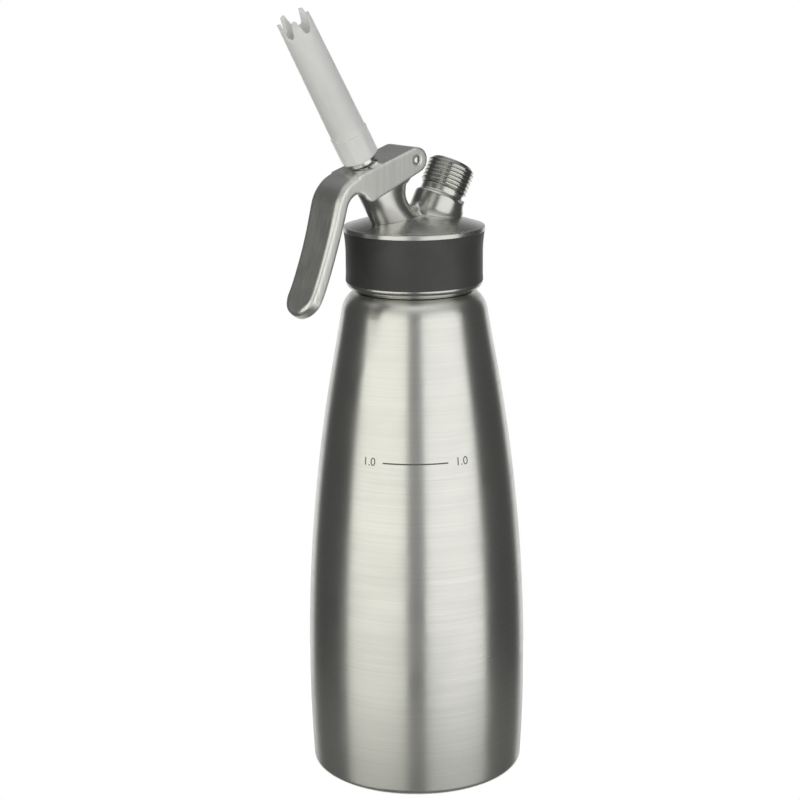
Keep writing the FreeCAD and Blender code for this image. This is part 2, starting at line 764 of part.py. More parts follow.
def make_piston(doc, s):
    """Valve disc, rod, and hollow stem with its cross holes and seal groove."""
    groove_floor = s["stem_radius"] - s["o_ring_section"]
    body = make_on_stem(doc, s, "piston", [
        (0, s["disc_top"] - s["disc_thickness"]),
        (s["disc_radius"], s["disc_top"] - s["disc_thickness"]),
        (s["disc_radius"], s["disc_top"]),
        (s["rod_radius"], s["disc_top"]),
        (s["rod_radius"], s["relief_start"]),
        (s["relief_radius"], s["relief_start"]),
        (s["relief_radius"], s["relief_end"]),
        (s["stem_radius"], s["relief_end"]),
        (s["stem_radius"], s["o_ring_groove_start"]),
        (groove_floor, s["o_ring_groove_start"]),
        (groove_floor, s["o_ring_groove_end"]),
        (s["stem_radius"], s["o_ring_groove_end"]),
        (s["stem_radius"], s["stem_top"]),
        (s["stem_way_radius"], s["stem_top"]),
        (s["stem_way_radius"], s["stem_way_start"]),
        (0, s["stem_way_start"])])
    for plane in ("XZ", "YZ"):
        hole = new_sketch(body, plane, f"cross_hole_{plane}")
        draw_circle(hole, 0, s["cross_hole_stem"], s["cross_hole_radius"])
        cut_pocket(body, hole, f"cross_way_{plane}", s["stem_bore_radius"] * 2, both_ways=True)
    return body


def make_spring(doc, s, name, place, bottom, top, coil, wire, turns):
    """Round wire wound about the leaning axis, between two flat seats."""
    body = new_body(doc, name)
    lean(body, *place)
    section = new_sketch(body, "XZ", f"{name}_wire")
    draw_circle(section, coil, bottom + wire / 2, wire / 2)
    helix = body.newObject("PartDesign::AdditiveHelix", f"{name}_coils")
    helix.Profile = section
    helix.ReferenceAxis = (section, ["V_Axis"])
    helix.Mode = "height-turns-growth"
    bind(helix, "Height", top - bottom - wire)
    bind(helix, "Turns", turns)
    return body


def make_o_ring(doc, s):
    """Stem seal, a ring of round section in the piston's groove."""
    section = s["o_ring_section"] / 2
    body = new_body(doc, "stem_o_ring")
    lean(body, s["tower_foot_height"], -s["tower_lean"])
    profile = new_sketch(body, "XZ", "o_ring_section")
    middle = s["o_ring_groove_start"] + s["o_ring_groove_width"] / 2
    draw_circle(profile, s["stem_radius"] - section, middle, section)
    add_revolution(body, profile, "o_ring")
    return body


def make_tip(doc, s):
    """Decorator tip: collar, slightly tapered tube and a crown of teeth cut from its end."""
    body = make_on_stem(doc, s, "decorator_tip", [
        (s["insert_bore_radius"], s["tip_bottom"]),
        (s["tip_collar_radius"], s["tip_bottom"]),
        (s["tip_collar_radius"], s["tip_step"]),
        (s["tip_base_radius"], s["tip_step"]),
        (s["tip_end_radius"], s["tip_top"]),
        (s["tip_end_radius"] - s["tip_wall"], s["tip_top"]),
        (s["tip_base_radius"] - s["tip_wall"], s["tip_floor_stem"] + s["tip_wall"]),
        (s["tip_passage_radius"], s["tip_floor_stem"]),
        (s["tip_passage_radius"], s["insert_top"]),
        (s["insert_radius"], s["insert_top"]),
        (s["insert_radius"], s["insert_bottom"]),
        (s["insert_bore_radius"], s["insert_bottom"])])
    notch = new_sketch(body, "XZ", "notch_profile")
    foot = s["tip_top"] - s["notch_depth"]
    half = s["notch_foot_half"]
    draw_outline(notch, [
        (-s["notch_top_half"], s["tip_top"]),
        (-half, foot + half, half, 1),
        (0, foot, half, 1),
        (half, foot + half),
        (s["notch_top_half"], s["tip_top"])])
    pocket = cut_pocket(body, notch, "notch", s["tip_collar_radius"], turned=True)
    crown = body.newObject("PartDesign::PolarPattern", "crown")
    crown.Originals = [pocket]
    crown.Axis = (notch, ["V_Axis"])
    crown.Angle = 360
    bind(crown, "Occurrences", s["tip_teeth"])
    body.Tip = crown
    return body


def lever_points(s):
    """Corners of the lever's outer line, from the pin's round to the arm's tip, with its directions."""
    top, bend, foot, tip = (
        s["lever_top_angle"], s["arm_top_angle"], s["arm_foot_angle"], s["arm_tip_angle"])
    start = (-s["pin_offset"] - s["cheek_radius"] * sine(top),
             s["pin_height"] + s["cheek_radius"] * cosine(top))
    turn = (start[0] - s["lever_top_length"] * cosine(top),
            start[1] - s["lever_top_length"] * sine(top))
    arm = (turn[0] + s["bend_radius"] * sine(top) - s["bend_radius"] * cosine(bend),
           turn[1] - s["bend_radius"] * cosine(top) + s["bend_radius"] * sine(bend))
    low = (arm[0] - s["arm_arc_radius"] * cosine(bend) + s["arm_arc_radius"] * cosine(foot),
           arm[1] + s["arm_arc_radius"] * sine(bend) - s["arm_arc_radius"] * sine(foot))
    end = (low[0] - s["arm_tip_radius"] * cosine(foot) + s["arm_tip_radius"] * cosine(tip),
           low[1] + s["arm_tip_radius"] * sine(foot) - s["arm_tip_radius"] * sine(tip))
    return start, turn, arm, low, end


def inward(s, point, angle):
    """The point on the arm's inner line across from an outer point; angle is the arm's lean there."""
    return (point[0] + s["arm_thickness"] * cosine(angle),
            point[1] - s["arm_thickness"] * sine(angle))


def onward(point, angle, length):
    """The point further down along an arm that leans by the angle."""
    return (point[0] - length * sine(angle), point[1] - length * cosine(angle))


def add_lever_blank(body, s):
    """Top plate, bend and arm as one band seen from the side; the bend is filled out by a web."""
    start, turn, arm, low, end = lever_points(s)
    top, tip, web = s["lever_top_angle"], s["arm_tip_angle"], s["web_angle"]
    thick, toe, plate = s["arm_thickness"], s["arm_toe_radius"], s["lever_plate"]
    inner_bend = s["bend_inner_radius"]
    inner_arm = inward(s, arm, s["arm_top_angle"])
    inner_low = inward(s, low, s["arm_foot_angle"])
    inner_end = inward(s, end, tip)
    toe_end = (end[0] - toe * sine(tip) + toe * cosine(tip),
               end[1] - toe * cosine(tip) - toe * sine(tip))
    bend_middle = (inner_arm[0] + inner_bend * cosine(s["arm_top_angle"]),
                   inner_arm[1] - inner_bend * sine(s["arm_top_angle"]))
    web_end = (bend_middle[0] - inner_bend * sine(web), bend_middle[1] + inner_bend * cosine(web))
    web_foot = (lobe_left(s), web_end[1] - s["web_foot_drop"])
    under_turn = (turn[0] + thick * cosine(top) + plate * sine(top),
                  turn[1] + thick * sine(top) - plate * cosine(top))
    under_start = (start[0] + plate * sine(top), start[1] - plate * cosine(top))
    blank = new_sketch(body, "XZ", "lever_band")
    draw_outline(blank, [
        (*start,),
        (*turn, s["bend_radius"], 1),
        (*arm, s["arm_arc_radius"], -1),
        (*low, s["arm_tip_radius"], -1),
        (*end, toe, 1),
        (*toe_end,),
        (*onward(inner_end, tip, toe),),
        (*inner_end, s["arm_tip_radius"] + thick, 1),
        (*inner_low, s["arm_arc_radius"] + thick, 1),
        (*inner_arm, inner_bend, -1),
        (*web_end,),
        (*web_foot,),
        (*under_turn,),
        (*under_start,)])
    add_pad(body, blank, "band", s["arm_width"])
    return blank


def cut_tongue(body, s):
    """Rounds the arm's end to a tongue, seen square to its face."""
    end = lever_points(s)[-1]
    tip = onward(end, s["arm_tip_angle"], s["arm_toe_radius"] - s["tongue_inset"])
    round_end = s["arm_width"] / 2
    beyond = s["arm_width"]
    tongue = new_sketch(body, "XY", "tongue_outline")
    square = s["arm_tip_angle"] + RIGHT_ANGLE
    shift_sketch(tongue, "xyz", (tip[0], 0, tip[1]), Vector(0, 1, 0), square)
    draw_outline(tongue, [
        (-round_end, -beyond),
        (beyond, -beyond),
        (beyond, beyond),
        (-round_end, beyond),
        (-round_end, round_end, round_end, -1),
        (0, 0, round_end, -1),
        (-round_end, -round_end)])
    cut_pocket(body, tongue, "tongue", s["arm_width"] * 2, both_ways=True)


def round_arm(body, blank, s):
    """Rounds the arm's long edges: more on its face, which the hand holds, than on its back."""
    outline = blank.Shape.Edges

    def along(lines):
        def test(edge, middle):
            parameter = (edge.FirstParameter + edge.LastParameter) / 2
            level = abs(edge.tangentAt(parameter).y) > NEARLY_ONE
            spot = Part.Vertex(middle.x, 0, middle.z)
            return not level and any(line.distToShape(spot)[0] < TOUCHING for line in lines)
        return test

    face, back = outline[0:5], outline[6:10]
    add_fillet(body, body.Tip, "arm_face_rounding", s["arm_face_rounding"], along(face))
    body.Document.recompute()
    add_fillet(body, body.Tip, "arm_back_rounding", s["arm_back_rounding"], along(back))


def lobe_left(s):
    """How far forward the round lobe of the cheeks reaches."""
    low, lobe = s["cheek_bottom_angle"], s["cheek_lobe_radius"]
    bottom = -s["pin_offset"] + s["cheek_radius"] * sine(low) - s["cheek_bottom_length"] * cosine(low)
    return bottom - lobe * sine(low) - lobe


def add_cheeks(body, s):
    """Two side plates, round about the pin, with a round lobe at their low end."""
    start, turn = lever_points(s)[:2]
    low = s["cheek_bottom_angle"]
    radius = s["cheek_radius"]
    heel = (-s["pin_offset"] + radius * sine(low), s["pin_height"] - radius * cosine(low))
    lobe = (heel[0] - s["cheek_bottom_length"] * cosine(low),
            heel[1] - s["cheek_bottom_length"] * sine(low))
    lobe_radius = s["cheek_lobe_radius"]
    lobe_side = (lobe_left(s), lobe[1] + lobe_radius * cosine(low))
    rear = (-s["pin_offset"] + radius, s["pin_height"])
    cheeks = new_sketch(body, "XZ", "cheek_outline")
    draw_outline(cheeks, [
        (*start,),
        (*turn,),
        (lobe_side[0], turn[1] - s["arm_thickness"] / 2),
        (*lobe_side, lobe_radius, 1),
        (*lobe,),
        (*heel, radius, 1),
        (*rear, radius, 1)])
    add_pad(body, cheeks, "cheeks", s["lever_width"])


def cut_lever_channel(body, s):
    """Clears the space between the cheeks under the top plate, open below and behind the pin."""
    start, turn = lever_points(s)[:2]
    top = s["lever_top_angle"]
    plate = s["lever_plate"]
    roof_start = (start[0] + plate * sine(top), start[1] - plate * cosine(top))
    left = lobe_left(s)
    roof_end = (left, roof_start[1] + (left - roof_start[0]) * tangent(top))
    floor = s["pin_height"] - s["lever_top_length"]
    behind = s["cheek_radius"] * 2 - s["pin_offset"]
    channel = new_sketch(body, "XZ", "channel_profile")
    draw_outline(channel, [
        (*roof_start,),
        (*roof_end,),
        (left, floor),
        (behind, floor),
        (behind, roof_start[1])])
    cut_pocket(body, channel, "channel", s["channel_width"], both_ways=True)


def add_lever_pads(body, s):
    """Two round pads inside the cheeks that press on the piston's collar."""
    channel_half = s["channel_width"] / 2
    across = -(s["pad_stem"] * sine(s["tower_lean"]))
    along = s["tower_foot_height"] + s["pad_stem"] * cosine(s["tower_lean"])
    for side, name in ((1, "left"), (-1, "right")):
        pad = new_sketch(body, "XZ", f"pad_{name}_round")
        shift = (channel_half + s["pad_inner_half"]) / 2 * side
        shift_sketch(pad, "xyz", (0, 0, shift))
        draw_circle(pad, across, along, s["pad_radius"])
        add_pad(body, pad, f"pad_{name}", channel_half - s["pad_inner_half"])


def cut_stem_slot(body, s):
    """Slot that the stem passes through, and the round face that clears the tip's collar."""
    across = -(s["pad_stem"] * sine(s["tower_lean"]))
    along = s["tower_foot_height"] + s["pad_stem"] * cosine(s["tower_lean"])
    slot = new_sketch(body, "XY", "slot_outline")
    shift_sketch(slot, "xyz", (across, 0, along), Vector(0, 1, 0), -s["tower_lean"])
    draw_slot(slot, s["slot_half_width"], s["slot_front"], s["slot_half_width"])
    cut_pocket(body, slot, "slot", s["lever_width"], both_ways=True)
    face = new_sketch(body, "XY", "spotface_outline")
    face_across = -(s["spotface_stem"] * sine(s["tower_lean"]))
    face_along = s["tower_foot_height"] + s["spotface_stem"] * cosine(s["tower_lean"])
    shift_sketch(face, "xyz", (face_across, 0, face_along), Vector(0, 1, 0), -s["tower_lean"])
    draw_circle(face, 0, 0, s["spotface_radius"])
    cut_pocket(body, face, "spotface", s["spotface_radius"], turned=True)


def cut_pin_holes(body, s):
    """Holes for the pin through both cheeks, each with a shallow round recess about the pin's end."""
    hole = new_sketch(body, "XZ", "cheek_hole")
    draw_circle(hole, -s["pin_offset"], s["pin_height"], s["pin_radius"] + s["pin_clearance"])
    cut_pocket(body, hole, "cheek_holes", s["lever_width"] * 2, both_ways=True)
    for side, name in ((1, "left"), (-1, "right")):
        recess = new_sketch(body, "XZ", f"recess_{name}_round")
        depth = s["pin_recess_depth"]
        shift_sketch(recess, "xyz", (0, 0, (s["lever_width"] / 2 - depth) * side))
        draw_circle(recess, -s["pin_offset"], s["pin_height"], s["pin_recess_radius"])
        cut_pocket(body, recess, f"recess_{name}", depth * 2, turned=side > 0)


def make_lever(doc, s):
    body = new_body(doc, "lever")
    blank = add_lever_blank(body, s)
    cut_tongue(body, s)
    doc.recompute()
    round_arm(body, blank, s)
    add_cheeks(body, s)
    cut_lever_channel(body, s)
    add_lever_pads(body, s)
    cut_stem_slot(body, s)
    cut_pin_holes(body, s)
    return body


def make_lever_pin(doc, s):
    body = new_body(doc, "lever_pin")
    section = new_sketch(body, "XZ", "lever_pin_section")
    draw_circle(section, -s["pin_offset"], s["pin_height"], s["pin_radius"])
    add_pad(body, section, "pin_shaft", s["lever_width"])
    return body


def make_check_valve(doc, s):
    """Poppet, spring and screwed retainer that keep the gas from flowing back out of the port."""
    bed = s["poppet_bed"]
    poppet = make_on_port(doc, s, "check_poppet", [
        (0, bed),
        (s["poppet_radius"], bed),
        (s["poppet_radius"], bed + s["poppet_length"] / 2),
        (s["poppet_radius"] - s["poppet_taper"], s["check_seat_port"]),
        (0, s["check_seat_port"])])
    retainer = make_on_port(doc, s, "check_retainer", ring(
        s["retainer_hole_radius"], s["check_chamber_radius"], s["check_boss_port"], s["retainer_top"]))
    spring = make_spring(
        doc, s, "check_spring", (s["port_foot_height"], s["port_lean"]), s["retainer_top"], bed,
        s["check_spring_radius"], s["check_wire"], s["check_spring_turns"])
    return [poppet, retainer, spring]


def make_charger_side(doc, s):
    """Hollow piercing pin on its flange, and the seal that grips the charger's neck above it."""
    bed, flange_top, tip = s["pin_flange_bed"], s["pin_flange_top"], s["piercer_tip"]
    hole = s["piercer_hole_radius"]
    seal = make_on_port(doc, s, "charger_seal", ring(
        s["charger_seal_hole"], s["charger_seal_radius"], flange_top, s["socket_floor"]))
    pin = make_on_port(doc, s, "piercing_pin", [
        (hole, bed),
        (s["pin_flange_radius"], bed),
        (s["pin_flange_radius"], flange_top),
        (s["piercer_radius"], flange_top),
        (s["piercer_radius"], tip - s["piercer_cone"]),
        (hole + s["piercer_point"], tip),
        (hole, tip)])
    return [seal, pin]


def make_valve_parts(doc, s):
    """Everything that rides on the piston, and the spring that shuts it."""
    stem = s["stem_radius"]
    collar_bottom, collar_top = s["collar_bottom"], s["collar_top"]
    hub_bottom = collar_bottom - s["collar_hub_height"]
    seal = make_on_stem(doc, s, "valve_seal", ring(
        s["rod_radius"], s["disc_radius"], s["disc_top"], s["valve_seat_stem"]))
    collar = make_on_stem(doc, s, "drive_collar", [
        (stem, hub_bottom),
        (s["collar_hub_radius"], hub_bottom),
        (s["collar_hub_radius"], collar_bottom),
        (s["collar_radius"], collar_bottom),
        (s["collar_radius"], collar_top),
        (stem, collar_top)])
    seat_ring = make_on_stem(doc, s, "tip_seat_ring", ring(
        stem, s["seat_ring_radius"], s["seat_ring_bottom"], s["seat_ring_top"]))
    spring = make_spring(
        doc, s, "piston_spring", (s["tower_foot_height"], -s["tower_lean"]), s["spring_seat_stem"],
        collar_bottom, s["spring_radius"], s["spring_wire"], s["spring_turns"])
    insert = make_on_stem(doc, s, "tip_insert", ring(
        s["insert_bore_radius"], s["insert_radius"], s["insert_bottom"], s["insert_top"]))
    return [seal, collar, seat_ring, spring, insert]


def check_document(doc, bodies):
    """Stops the build if an object failed or a sub-part has no sound shape."""
    for item in doc.Objects:
        if "Invalid" in item.State or "Error" in item.State:
            raise RuntimeError(f"{item.Label} did not build: {item.State}")
    for body in bodies:
        if body.Shape.isNull() or not body.Shape.isValid():
            raise RuntimeError(f"{body.Label} has no sound shape")


def main():
    doc = FreeCAD.newDocument("cream_whipper")
    sizes = fill_sheet(doc)
    bodies = [
        make_bottle(doc, sizes),
        make_head(doc, sizes),
        make_band(doc, sizes),
        make_gasket(doc, sizes),
        make_piston(doc, sizes),
        make_o_ring(doc, sizes),
        *make_valve_parts(doc, sizes),
        make_tip(doc, sizes),
        make_lever(doc, sizes),
        make_lever_pin(doc, sizes),
        *make_charger_side(doc, sizes),
        *make_check_valve(doc, sizes)]
    doc.recompute()
    check_document(doc, bodies)
    os.makedirs("parts", exist_ok=True)
    for body in bodies:
        body.Shape.exportStep(f"parts/{body.Label}.step")
        print(f"{body.Label}: {len(body.Shape.Solids)} solid, {body.Shape.Volume:.1f} mm3")


main()
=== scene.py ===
"""Cream whipper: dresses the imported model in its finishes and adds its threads, sleeve, pin and marks."""

import json
import math

import bpy
from bpy.props import FloatProperty, FloatVectorProperty, IntProperty, PointerProperty
from mathutils import Matrix, Vector

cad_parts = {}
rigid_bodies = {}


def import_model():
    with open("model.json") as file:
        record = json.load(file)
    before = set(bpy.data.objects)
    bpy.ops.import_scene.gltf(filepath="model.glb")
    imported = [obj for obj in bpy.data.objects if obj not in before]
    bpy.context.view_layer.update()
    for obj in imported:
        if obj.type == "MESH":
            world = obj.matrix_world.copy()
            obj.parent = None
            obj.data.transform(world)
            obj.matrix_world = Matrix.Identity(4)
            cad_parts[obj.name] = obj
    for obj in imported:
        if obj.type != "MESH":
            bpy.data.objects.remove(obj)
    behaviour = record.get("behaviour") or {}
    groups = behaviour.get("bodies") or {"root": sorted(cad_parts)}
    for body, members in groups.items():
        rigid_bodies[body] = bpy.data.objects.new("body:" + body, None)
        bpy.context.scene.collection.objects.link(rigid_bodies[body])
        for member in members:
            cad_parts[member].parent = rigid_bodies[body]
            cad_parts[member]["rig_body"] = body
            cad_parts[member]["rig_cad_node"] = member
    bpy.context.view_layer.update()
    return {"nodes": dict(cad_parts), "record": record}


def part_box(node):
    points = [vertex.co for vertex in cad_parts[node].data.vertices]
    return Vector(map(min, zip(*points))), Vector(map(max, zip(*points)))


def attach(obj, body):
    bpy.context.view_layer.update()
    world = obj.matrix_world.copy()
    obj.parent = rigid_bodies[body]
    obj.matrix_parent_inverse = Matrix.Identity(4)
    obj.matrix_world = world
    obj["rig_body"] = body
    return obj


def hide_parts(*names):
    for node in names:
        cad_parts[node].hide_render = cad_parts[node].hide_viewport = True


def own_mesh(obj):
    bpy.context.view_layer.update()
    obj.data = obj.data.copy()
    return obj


bl_info = {
    "name": "Cream whipper",
    "version": (1, 0, 0),
    "blender": (4, 5, 0),
    "location": "3D View > Sidebar > Whipper",
    "description": "Finishes and fine parts of a steel cream whipper",
    "category": "Object",
}

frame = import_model()

MM = 0.001
FULL_TURN = 2 * math.pi
QUARTER_TURN = math.pi / 2
SAME_PLACE = 1e-6
SMOOTH_ANGLE, CAST_ANGLE = math.radians(32), math.radians(50)
LATHE_STEPS, FINE_LATHE_STEPS = 144, 72
CAMERA_TURN = math.radians(40)
COLUMN_ACROSS, COLUMN_DEEP = math.cos(CAMERA_TURN), math.sin(CAMERA_TURN)

# Feet of the two leaning axes on the bottle's own axis, and how far each leans towards +X.
VALVE_FOOT, VALVE_LEAN = 229.3 * MM, math.radians(-30)
PORT_FOOT, PORT_LEAN = 232.4 * MM, math.radians(29)

# The head's crowned dome, in millimetres: radius of its sphere, and height and radius of its rim.
DOME_RADIUS, DOME_RIM_HEIGHT, DOME_RIM = 93.0, 248.6, 29.5

# The valve's bore, in millimetres: radii, and heights up its axis to the column's top.
STEM_BORE, SPRING_POCKET = 4.2, 6.35
BORE_FOOT, SPRING_SEAT, COLUMN_TOP = 5, 38, 45

# The gas way, in millimetres: radii, and heights up the port's axis. Tools for cuts end well beyond.
CHECK_CHAMBER, GAS_WAY, SEAL_POCKET, SOCKET = 3.05, 1.25, 5.05, 8.05
CHAMBER_FOOT, CHECK_SEAT, SEAL_BED, SOCKET_FLOOR, PORT_TOP = 8, 22.05, 34.2, 38.45, 46.7
BEYOND = 60

# The port outside, in millimetres: radii, and heights up its axis.
BOSS, PORT_NECK, PORT_CREST = 11.1, 9.4, 10.6
BOSS_ROUNDING, BOSS_TOP, THREAD_FOOT = 1.5, 31, 34.6


def coupling_pitch(joint):
    """Rise of a thread in one turn, from the coupling that a lifting joint follows."""
    for row in frame["record"]["behaviour"]["couplings"]:
        if row["joint"] == joint:
            return row["ratio"] * FULL_TURN
    raise RuntimeError(f"no coupling drives {joint}")


# ---- Sizes and colours ----

def length(name, description, default):
    """A length whose default is given in millimetres."""
    return FloatProperty(name=name, description=description, default=default * MM, unit="LENGTH")


def swatch(name, description, *default):
    """A colour whose default is given as red, green and blue."""
    return FloatVectorProperty(name=name, description=description, default=default, subtype="COLOR")


class WhipperSizes(bpy.types.PropertyGroup):
    port_thread_pitch: length("Port thread pitch", "Rise of the gas port's thread in one turn", 1.75)
    port_thread_depth: length("Port thread depth", "Crest to root of the gas port's thread", 1.0)
    neck_bead: length("Neck thread bead", "Radius of the rolled thread on the bottle's neck", 0.42)
    neck_turns: FloatProperty(
        name="Neck thread turns", description="Turns of the thread between bottle and head", default=2.6)
    stem_bead: length("Stem thread bead", "Radius of the thread on the valve's stem", 0.22)
    spring_coil: length("Spring coil", "Radius of the valve spring's coils", 5.2)
    spring_wire: length("Spring wire", "Thickness of the valve spring's wire", 1.0)
    spring_turns: FloatProperty(name="Spring turns", description="Turns of both springs", default=4.0)
    gas_spring_coil: length("Gas spring coil", "Radius of the check valve spring's coils", 1.7)
    gas_spring_wire: length("Gas spring wire", "Thickness of the check valve spring's wire", 0.4)
    sleeve_rounding: length("Sleeve rounding", "Rounding of the sleeve's edges", 0.3)
    casting_grain: length(
        "Casting grid", "Grid that the head's blended column and port are skinned on", 0.4)
    column_passes: IntProperty(
        name="Column blending", description="Smoothing passes where the column meets the port", default=240)
    lever_grain: length("Lever grid", "Grid that the softened lever is skinned on", 0.36)
    lever_passes: IntProperty(
        name="Lever softening", description="Smoothing passes over the lever's edges", default=40)
    pin_dome: length("Pin dome", "Height of the rounded end of the lever's pin", 0.35)
    tip_flats: IntProperty(name="Tip flats", description="Flats round the tip's collar", default=8)
    mark_length: length("Fill line length", "Length of the fill line round the bottle", 28.2)
    mark_width: length("Fill line width", "Width of the fill line", 0.62)
    mark_height: length("Fill height", "Height of the fill line above the foot", 151.3)
    digit_height: length("Digit height", "Height of the fill numbers", 3.6)


class WhipperColours(bpy.types.PropertyGroup):
    bottle: swatch("Bottle steel", "Brushed steel of the bottle", 0.73, 0.73, 0.69)
    casting: swatch("Head steel", "Satin steel of the head", 0.62, 0.62, 0.59)
    lever: swatch("Lever steel", "Brushed steel of the lever", 0.76, 0.76, 0.73)
    turned: swatch("Turned steel", "Bright turned steel of the small parts", 0.76, 0.76, 0.74)
    wire: swatch("Spring wire", "Drawn wire of the springs", 0.58, 0.58, 0.60)
    sleeve: swatch("Sleeve", "Dark silicone of the grip sleeve", 0.048, 0.048, 0.047)
    gasket: swatch("Head gasket", "Silicone of the head gasket", 0.42, 0.035, 0.030)
    seal: swatch("Small seals", "Rubber of the valve's and the port's seals", 0.035, 0.035, 0.035)
    tip: swatch("Tip", "Moulded plastic of the decorator tip", 0.86, 0.87, 0.85)
    mark: swatch("Etched marks", "Etched steel of the fill line", 0.10, 0.10, 0.095)
    floor: swatch("Floor", "Pale floor", 0.80, 0.80, 0.80)


def sizes():
    return bpy.context.scene.whipper_sizes


def colour(name):
    return (*getattr(bpy.context.scene.whipper_colours, name), 1.0)


# ---- Modelling ----

def deselect():
    if bpy.context.mode != "OBJECT":
        bpy.ops.object.mode_set(mode="OBJECT")
    bpy.ops.object.select_all(action="DESELECT")


def pick(piece):
    """Leaves the piece alone selected and active."""
    deselect()
    piece.select_set(True)
    bpy.context.view_layer.objects.active = piece


def named(name):
    """Names the object that the last operator added, and its mesh."""
    piece = bpy.context.object
    piece.name = name
    piece.data.name = name
    return piece


def start_point(name, point):
    """A new mesh of one vertex, left in edit mode with that vertex selected."""
    deselect()
    bpy.ops.mesh.primitive_plane_add(size=MM)
    piece = named(name)
    bpy.ops.object.mode_set(mode="EDIT")
    bpy.ops.mesh.select_mode(type="VERT")
    bpy.ops.mesh.select_all(action="SELECT")
    bpy.ops.mesh.merge(type="CENTER")
    bpy.ops.transform.translate(value=point)
    return piece


def draw_line(points):
    """Extrudes the selected vertex from the first point through the others."""
    for start, stop in zip(points, points[1:]):
        bpy.ops.mesh.extrude_vertices_move(TRANSFORM_OT_translate={"value": Vector(stop) - Vector(start)})


def profile(corners):
    """Points in the XZ plane, in metres, from pairs of radius and height in millimetres."""
    return [Vector((radius * MM, 0, height * MM)) for radius, height in corners]


def close_mesh():
    """Merges what lies in the same place and turns all faces outwards; needs edit mode."""
    bpy.ops.mesh.select_all(action="SELECT")
    bpy.ops.mesh.remove_doubles(threshold=SAME_PLACE)
    bpy.ops.mesh.normals_make_consistent(inside=False)


def turned_piece(name, corners, place=None, steps=LATHE_STEPS):
    """A closed ring or solid, turned from corners about an axis that the place sets."""
    points = profile(corners)
    piece = start_point(name, points[0])
    draw_line([*points, points[0]])
    bpy.ops.mesh.select_all(action="SELECT")
    bpy.ops.mesh.spin(steps=steps, angle=FULL_TURN, center=(0, 0, 0), axis=(0, 0, 1))
    close_mesh()
    bpy.ops.mesh.delete_loose(use_verts=True, use_edges=True, use_faces=False)
    settle(piece, place)
    return piece


def lofted_piece(name, rings):
    """A closed solid skinned over level ellipses: centre along X, height and both half widths, in mm."""
    deselect()
    for number, (middle, height, half_x, half_y) in enumerate(rings):
        centre = (middle * MM, 0, height * MM)
        if number:
            bpy.ops.mesh.select_all(action="DESELECT")
        bpy.ops.mesh.primitive_circle_add(vertices=72, radius=MM, location=centre)
        if not number:
            piece = named(name)
            bpy.ops.object.transform_apply(location=True, rotation=True, scale=True)
            bpy.ops.object.mode_set(mode="EDIT")
            bpy.ops.mesh.select_mode(type="VERT")
            bpy.ops.mesh.select_all(action="SELECT")
        bpy.ops.transform.resize(value=(half_x, half_y, 1), center_override=centre)
    bpy.ops.mesh.select_all(action="SELECT")
    bpy.ops.mesh.bridge_edge_loops()
    bpy.ops.mesh.select_all(action="SELECT")
    bpy.ops.mesh.fill_holes(sides=0)
    close_mesh()
    bpy.ops.object.mode_set(mode="OBJECT")
    return piece


def block(name, low, high):
    """A box between two corners, in millimetres."""
    low, high = Vector(low) * MM, Vector(high) * MM
    deselect()
    bpy.ops.mesh.primitive_cube_add(size=1, location=(low + high) / 2)
    piece = named(name)
    piece.scale = high - low
    bpy.ops.object.transform_apply(location=True, rotation=True, scale=True)
    return piece


def settle(piece, place=None):
    """Puts the piece at its place and moves that place into its mesh."""
    pick(piece)
    if place is not None:
        piece.matrix_world = place
    bpy.ops.object.transform_apply(location=True, rotation=True, scale=True)


def smooth(piece, angle=SMOOTH_ANGLE):
    pick(piece)
    bpy.ops.object.shade_smooth_by_angle(angle=angle)


def add_modifier(piece, kind, **settings):
    """Adds a modifier, applies it and leaves the piece selected."""
    pick(piece)
    modifier = piece.modifiers.new(kind.title(), kind)
    for key, value in settings.items():
        setattr(modifier, key, value)
    bpy.ops.object.modifier_apply(modifier=modifier.name)


def cut_with(piece, tool, operation):
    """Boolean of the piece with a tool, which is then gone."""
    add_modifier(piece, "BOOLEAN", object=tool, operation=operation, solver="MANIFOLD")
    pick(tool)
    bpy.ops.object.delete()
    pick(piece)


def even_shading(piece):
    """Keeps broad faces flat-looking beside their rounded edges."""
    smooth(piece)
    add_modifier(piece, "WEIGHTED_NORMAL", keep_sharp=True)


def close_ends(piece):
    """Caps every open loop of a swept shape."""
    pick(piece)
    bpy.ops.object.mode_set(mode="EDIT")
    bpy.ops.mesh.select_all(action="SELECT")
    bpy.ops.mesh.remove_doubles(threshold=SAME_PLACE)
    bpy.ops.mesh.fill_holes(sides=0)
    close_mesh()
    bpy.ops.object.mode_set(mode="OBJECT")


def thread_bead(name, radius, bead, pitch, turns, height, start_angle=0.0, place=None):
    """A round thread bead that winds up an axis, half sunk in the wall that carries it."""
    deselect()
    bpy.ops.mesh.primitive_circle_add(
        vertices=12, radius=bead, location=(radius, 0, height), rotation=(QUARTER_TURN, 0, 0))
    piece = named(name)
    settle(piece)
    steps = int(72 * turns)
    add_modifier(piece, "SCREW", axis="Z", angle=FULL_TURN * turns, screw_offset=pitch * turns,
                 steps=steps, render_steps=steps)
    close_ends(piece)
    settle(piece, (place or Matrix()) @ Matrix.Rotation(start_angle, 4, "Z"))
    smooth(piece, math.radians(60))
    return piece


def coil_spring(name, node, place, coil, wire, turns):
    """Round wire wound about a leaning axis in a node's place."""
    heights = [(place.inverted() @ vertex.co).z for vertex in frame["nodes"][node].data.vertices]
    bottom, free_length = min(heights), max(heights) - min(heights)
    rise = (free_length - wire) / turns
    spring = thread_bead(name, coil, wire / 2, rise, turns, bottom + wire / 2, place=place)
    dress(spring, "head", "spring_steel", "spring_steel", node)
    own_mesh(spring)


